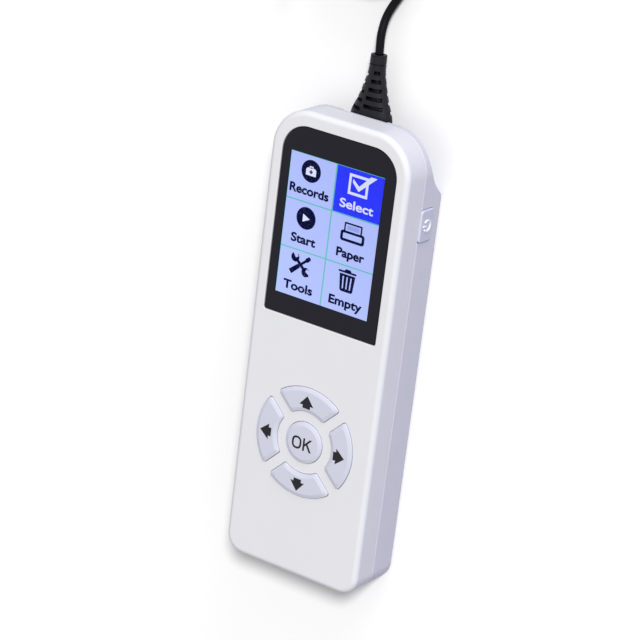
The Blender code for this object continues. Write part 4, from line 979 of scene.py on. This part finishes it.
stations = [0, *np.linspace(4, 30.5, 28), 31.0, 31.4, 34.3, 34.8, 35.1, BOOT_LENGTH]
boot = boot_form("plug_boot_moulding", stations, 0)
for row in range(SLOT_ROWS):
    front_y = SLOT_START - SLOT_PITCH * row
    side_y = front_y - SLOT_PITCH / 2
    front_half, side_half, side_round, side_inner = (
        first + more * row for first, more in (FRONT_HALF, SIDE_HALF, SIDE_ROUND, SIDE_INNER)
    )
    for low_x, high_x, low_y, high_y, middle, turn in (
        (-front_half, front_half, -20, 20, front_y, SLOT_TURN),
        (-20, -side_inner, -side_half, side_round, side_y, SLOT_TURN),
        (side_inner, 20, -side_half, side_half, side_y, SLOT_TURN - 6 * row),
    ):
        low, high = middle - SLOT_LENGTH / 2, middle + SLOT_LENGTH / 2
        slot = block("slot", (low_x, low_y, low), (high_x, high_y, high))
        settle(slot, Matrix.Rotation(math.radians(turn), 3, "Z"))
        cut(slot, boot_form("core", np.linspace(0, BOOT_LENGTH, 24), SLOT_DEPTH))
        cut(boot, slot)
collar_groove = drawn_up("groove", disc(5), [(0, 31.4), (0, 31.95)])
cut(collar_groove, drawn_up("groove_core", disc(COLLAR_RADIUS - 0.5), [(0, 30), (0, 33)]))
cut(boot, collar_groove)
bevel(boot, 0.7, 5, lambda a, b: a.z > BOOT_LENGTH - 0.001)
mouth_levels = [(0, BOOT_LENGTH - 1), (0, BOOT_LENGTH + 1)]
cut(boot, drawn_up("cord_mouth", disc(MOUTH_RADIUS), mouth_levels))
settle(boot, ALONG_Y, (0, BOOT_START, BOOT_Z))
# Thermoplastic elastomer, moulded in a spark-eroded tool: black with a soft, dull sheen.
boot_tpe = finish("boot_tpe", "#18181E", 0.42, 0.4, 0.010, "#1C1C23", Specular_IOR_Level=0.17)
clean(boot)
dress(boot, "housing", [boot_tpe], "plug_boot")


# Probe plug
# The connector that the boot is moulded on, in black glass-filled nylon. It lies in the
# notch of the rear shell, and its round nose goes into the socket behind the wall.
PLUG_START = 66.2
PLUG_LEVELS = ((0.5, 0), (0.15, 0.15), (0, 0.5), (0, 16.1), (0.3, 16.5))
PLUG_NOSE_RADIUS = 3.2
PLUG_GRIP_PITCH = 2.2


def plug_outline(inset):
    return oval(*[half - inset for half in BOOT_HALVES])


plug = drawn_up("probe_plug_body", plug_outline, PLUG_LEVELS)
nose_levels = [(0.4, -7), (0, -6.6), (0, 1)]
join(plug, drawn_up("plug_nose", disc(PLUG_NOSE_RADIUS), nose_levels))
for number in range(4):
    along = PLUG_GRIP_PITCH * number
    cut(plug, block("grip", (-6.5, 4.0, 5 + along), (6.5, 6, 6 + along)))
settle(plug, ALONG_Y, (0, PLUG_START, BOOT_Z))
# Glass-filled nylon: charcoal, with a satin made uneven by fibres near the surface.
black_nylon = finish("black_nylon", "#232329", 0.42, 0.35, 0.006, "#27272D")
dress(plug, "housing", [black_nylon], "probe_plug")


# Cord tie
# A strap of woven nylon with hook and loop faces, wrapped once round the coil's turns.
TIE_ANGLE = math.radians(150)
TIE_HALF_WIDTH = 4.0
TIE_THICKNESS = 0.7
tie_outline = rounded(11.55, 24.35, 0.8, 16.1, (2,) * 4)
tie_levels = [(-TIE_THICKNESS, -TIE_HALF_WIDTH), (-TIE_THICKNESS, TIE_HALF_WIDTH)]
tie = drawn_up("cord_tie_strap", tie_outline, tie_levels)
cut(tie, drawn_up("tie_space", tie_outline, [(0, -6), (0, 6)]))
end_outline = rounded(24.4, 25.05, 5.0, 12.0, (0.2,) * 4, 2)
end_levels = [(0, -TIE_HALF_WIDTH + 0.3), (0, TIE_HALF_WIDTH - 0.3)]
join(tie, drawn_up("tie_end", end_outline, end_levels))
outwards = Vector((math.cos(TIE_ANGLE), math.sin(TIE_ANGLE), 0))
upwards = Vector((0, 0, 1))
tie_turn = Matrix((outwards, upwards, outwards.cross(upwards))).transposed()
settle(tie, tie_turn, (*coil_middle, 0))
bevel(tie, 0.12, 2, lambda a, b: True)
# Woven nylon with a napped face: dull black, rough to the eye, paler where it is grazed.
# Its loops, 0.1 mm across, are drawn at 0.45 mm so that they show.
tie_nylon = finish("tie_nylon", "#1C1C22", 0.85, 0.45, 0.06, "#24242B", Sheen_Weight=0.3)
dress(tie, "housing", [tie_nylon], "cord_tie")


# Ear probe
# A round ABS body on the far end of the cord, with a moulded boot behind it and a white
# nozzle in front that carries a soft silicone tip. Its parts push together.
PROBE_AXIS = (-46.0, 5.5)
PROBE_BOOT_START = 183.0
PROBE_BODY_START = 173.7
PROBE_NOSE_START = 151.4
EAR_TIP_START = 145.1


def lathed(name, profile, start_y, steps=56):
    """A round piece along the probe's axis from (radius, distance) pairs."""
    piece = drawn_up(name, disc(0, steps=steps), [(-radius, along) for radius, along in profile])
    return settle(piece, AGAINST_Y, (PROBE_AXIS[0], start_y, PROBE_AXIS[1]))


boot_profile = (
    (2.1, 0), (2.31, 0.2), (2.35, 1.4), (2.05, 1.5), (2.05, 2.1), (2.42, 2.2), (2.45, 3.4),
    (2.15, 3.5), (2.15, 4.1), (2.5, 4.2), (2.6, 5.4), (2.3, 5.5), (2.3, 6.1), (2.75, 6.2),
    (3.0, 7.6), (3.19, 9.0),
)
probe_boot = lathed("probe_boot_moulding", boot_profile, PROBE_BOOT_START)
dress(probe_boot, "housing", [boot_tpe], "probe_boot")

body_profile = (
    (3.2, 0), (3.41, 0.1), (4.1, 0.8), (4.67, 1.76), (5.1, 2.9), (5.36, 4.0), (5.5, 5.2),
    (5.5, 9.0), (5.3, 9.15), (5.3, 9.55), (5.5, 9.7), (5.5, 16.8), (5.42, 18.2), (5.2, 19.8),
    (4.95, 21.3), (4.73, 22.0),
)
probe_body = lathed("probe_body_moulding", body_profile, PROBE_BODY_START)
# The body takes the rear shell's colour, darkened with painted shade.
dress(probe_body, "housing", [rear_abs_painted_shade], "probe_body")

nose_profile = (
    (4.3, 0), (4.51, 0.15), (4.2, 1.1), (3.96, 2.1), (3.2, 3.9), (2.5, 5.6), (2.31, 6),
    (1.6, 6), (1.6, 12.7), (1.4, 13),
)
probe_nose = lathed("probe_nose_moulding", nose_profile, PROBE_NOSE_START)
cut(probe_nose, lathed("nozzle_bore", [(0.8, 6), (0.8, 14)], PROBE_NOSE_START))
# Plain ABS from a polished tool: a clean white, glossier than the body behind it.
nozzle_abs = finish("nozzle_abs", "#E4E4E4", 0.35, 0.35, 0.003, "#E8E8E8")
dress(probe_nose, "housing", [nozzle_abs], "probe_nose")

tip_profile = (
    (2.6, 0), (2.8, 0.2), (2.8, 2.35), (3.3, 2.45), (3.95, 2.55), (4.15, 2.75), (4.2, 3.05),
    (4.17, 3.8), (4.06, 4.95), (3.85, 6.2), (3.55, 7.4), (3.25, 8.3), (2.95, 8.85),
    (2.6, 9.0),
)
ear_tip = lathed("ear_tip_moulding", tip_profile, EAR_TIP_START)
skirt_space = lathed("skirt_space", [(3.75, 2), (3.75, 4.2), (3.5, 4.8)], EAR_TIP_START)
cut(skirt_space, lathed("skirt_stem", [(2.85, 1), (2.85, 6)], EAR_TIP_START))
cut(ear_tip, skirt_space)
cut(ear_tip, lathed("tip_bore", [(1.9, -1), (1.9, 10)], EAR_TIP_START))
# Silicone rubber, cast soft and a little cloudy: light scatters in it under a dull skin.
silicone = finish(
    "silicone", "#6B9ACB", 0.42, 0.6, 0.004, "#72A1D2",
    Subsurface_Weight=0.35, Subsurface_Scale=0.002,
)
clean(ear_tip)
dress(ear_tip, "housing", [silicone], "ear_tip")


# Screws
# Self-tapping screws in zinc-plated steel, with a low round head and a six-lobed socket:
# six close the housing from the back, and four hold the board.
SHANK_RADIUS = 1.1
SCREW_HEAD_RADIUS = 2.2
HEAD_LEVELS = ((0.4, -1.1), (0.12, -0.95), (0, -0.6), (0, 0))
SOCKET_RADII = (0.87, 0.13)
SINK = 0.3


def six_lobes(inset):
    """The outline of the socket in a screw's head."""
    points = []
    for angle in np.linspace(0, 2 * math.pi, 48, endpoint=False):
        reach = SOCKET_RADII[0] + SOCKET_RADII[1] * math.cos(6 * angle)
        points.append((reach * math.cos(angle), reach * math.sin(angle)))
    return points


def screw(length):
    """A screw that points up, with the seat of its head at the origin."""
    shank_levels = [(0, 0), (0, length - 0.9), (0.9, length)]
    piece = drawn_up("screw", disc(SHANK_RADIUS, steps=24), shank_levels)
    join(piece, drawn_up("head", disc(SCREW_HEAD_RADIUS, steps=48), HEAD_LEVELS))
    cut(piece, drawn_up("socket", six_lobes, [(0, -2), (0, -0.5)]))
    return piece


# Zinc plate over turned steel: bright grey metal with soft, slightly mottled reflections.
zinc_steel = finish("zinc_steel", "#B9BBBD", 0.30, 0.25, 0.002, "#AEB0B3", Metallic=1.0)
screw_places = []
for number, (x, y, seat) in enumerate(CASE_SCREWS, 1):
    screw_places.append((f"case_screw_{number}", x, y, seat, 7 if y > 80 else 12))
for number, (x, y) in enumerate(BOARD_SCREWS, 1):
    screw_places.append((f"board_screw_{number}", x, y, 16, 4.5))
masters = {length: screw(length) for length in (12, 7, 4.5)}
for name, x, y, seat, length in screw_places:
    only(masters[length])
    bpy.ops.object.duplicate()
    copy = bpy.context.object
    copy.name = f"{name}_turned"
    settle(copy, place=(x, y, seat - SINK))
    dress(copy, "housing", [zinc_steel], name)
for master in masters.values():
    bpy.data.objects.remove(master)


# Inside
# The main board with what it carries, the switches, the battery with its contacts, and the
# display's tray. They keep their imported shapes, each in the finish of the real part.

# Lacquer over copper: deep green under a gloss that dips between the tracks.
solder_mask = finish("solder_mask", "#1B6241", 0.32, 1.2, 0.02, "#206B48", Coat_Weight=0.4)
# Shrunk PVC film: slate blue with a smooth satin.
battery_film = finish("battery_film", "#3A4F7A", 0.38, 0.8, 0.004, "#34486F")
# Cut polyurethane foam: dark grey, quite dull, pitted by its cells.
foam = finish("open_cell_foam", "#2A2A2C", 0.95, 0.5, 0.15, "#353538")
# Foamed acrylic tape: black and nearly matt.
acrylic_tape = finish("acrylic_tape", "#1A1A1C", 0.60, 0.4, 0.010, "#202022")
# Polyimide film over copper: amber with a smooth sheen.
polyimide = finish("polyimide_film", "#B0722A", 0.28, 0.6, 0.004, "#BA7C32")
# Tinned sheet steel, pressed: bright metal, a little clouded.
tinned_steel = finish("tinned_steel", "#C4C6C8", 0.34, 0.5, 0.004, "#BABCBF", Metallic=1.0)
# Gold over nickel: warm, smooth metal.
gold_plate = finish("gold_plate", "#D2AC57", 0.25, 0.3, 0.002, "#CBA44E", Metallic=1.0)
# Moulded acetal: off-white with a waxy satin.
acetal = finish("acetal", "#E6E6E2", 0.40, 0.4, 0.003, "#EAEAE6")
INSIDE = {
    "main_board": solder_mask, "battery_pack": battery_film, "lcd_foam": foam,
    "window_tape": acrylic_tape, "lcd_ribbon": polyimide, "lcd_tray": tinned_steel,
    "radio_module": tinned_steel, "clock_cell": zinc_steel,
    "charge_contact_left": gold_plate, "charge_contact_right": gold_plate,
    "ribbon_connector": black_nylon, "processor_chip": black_nylon, "beeper": black_nylon,
    "power_switch": black_nylon, "charge_block": black_nylon,
    "battery_contacts": black_nylon, "probe_socket": black_nylon, "power_plunger": acetal,
}
for key_name in ("key_up", "key_right", "key_down", "key_left", "key_ok"):
    INSIDE[f"{key_name}_switch"] = black_nylon
    INSIDE[f"{key_name}_plunger"] = acetal
for node, material in INSIDE.items():
    mesh_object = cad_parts[node]
    mesh_object.data.materials.clear()
    mesh_object.data.materials.append(material)
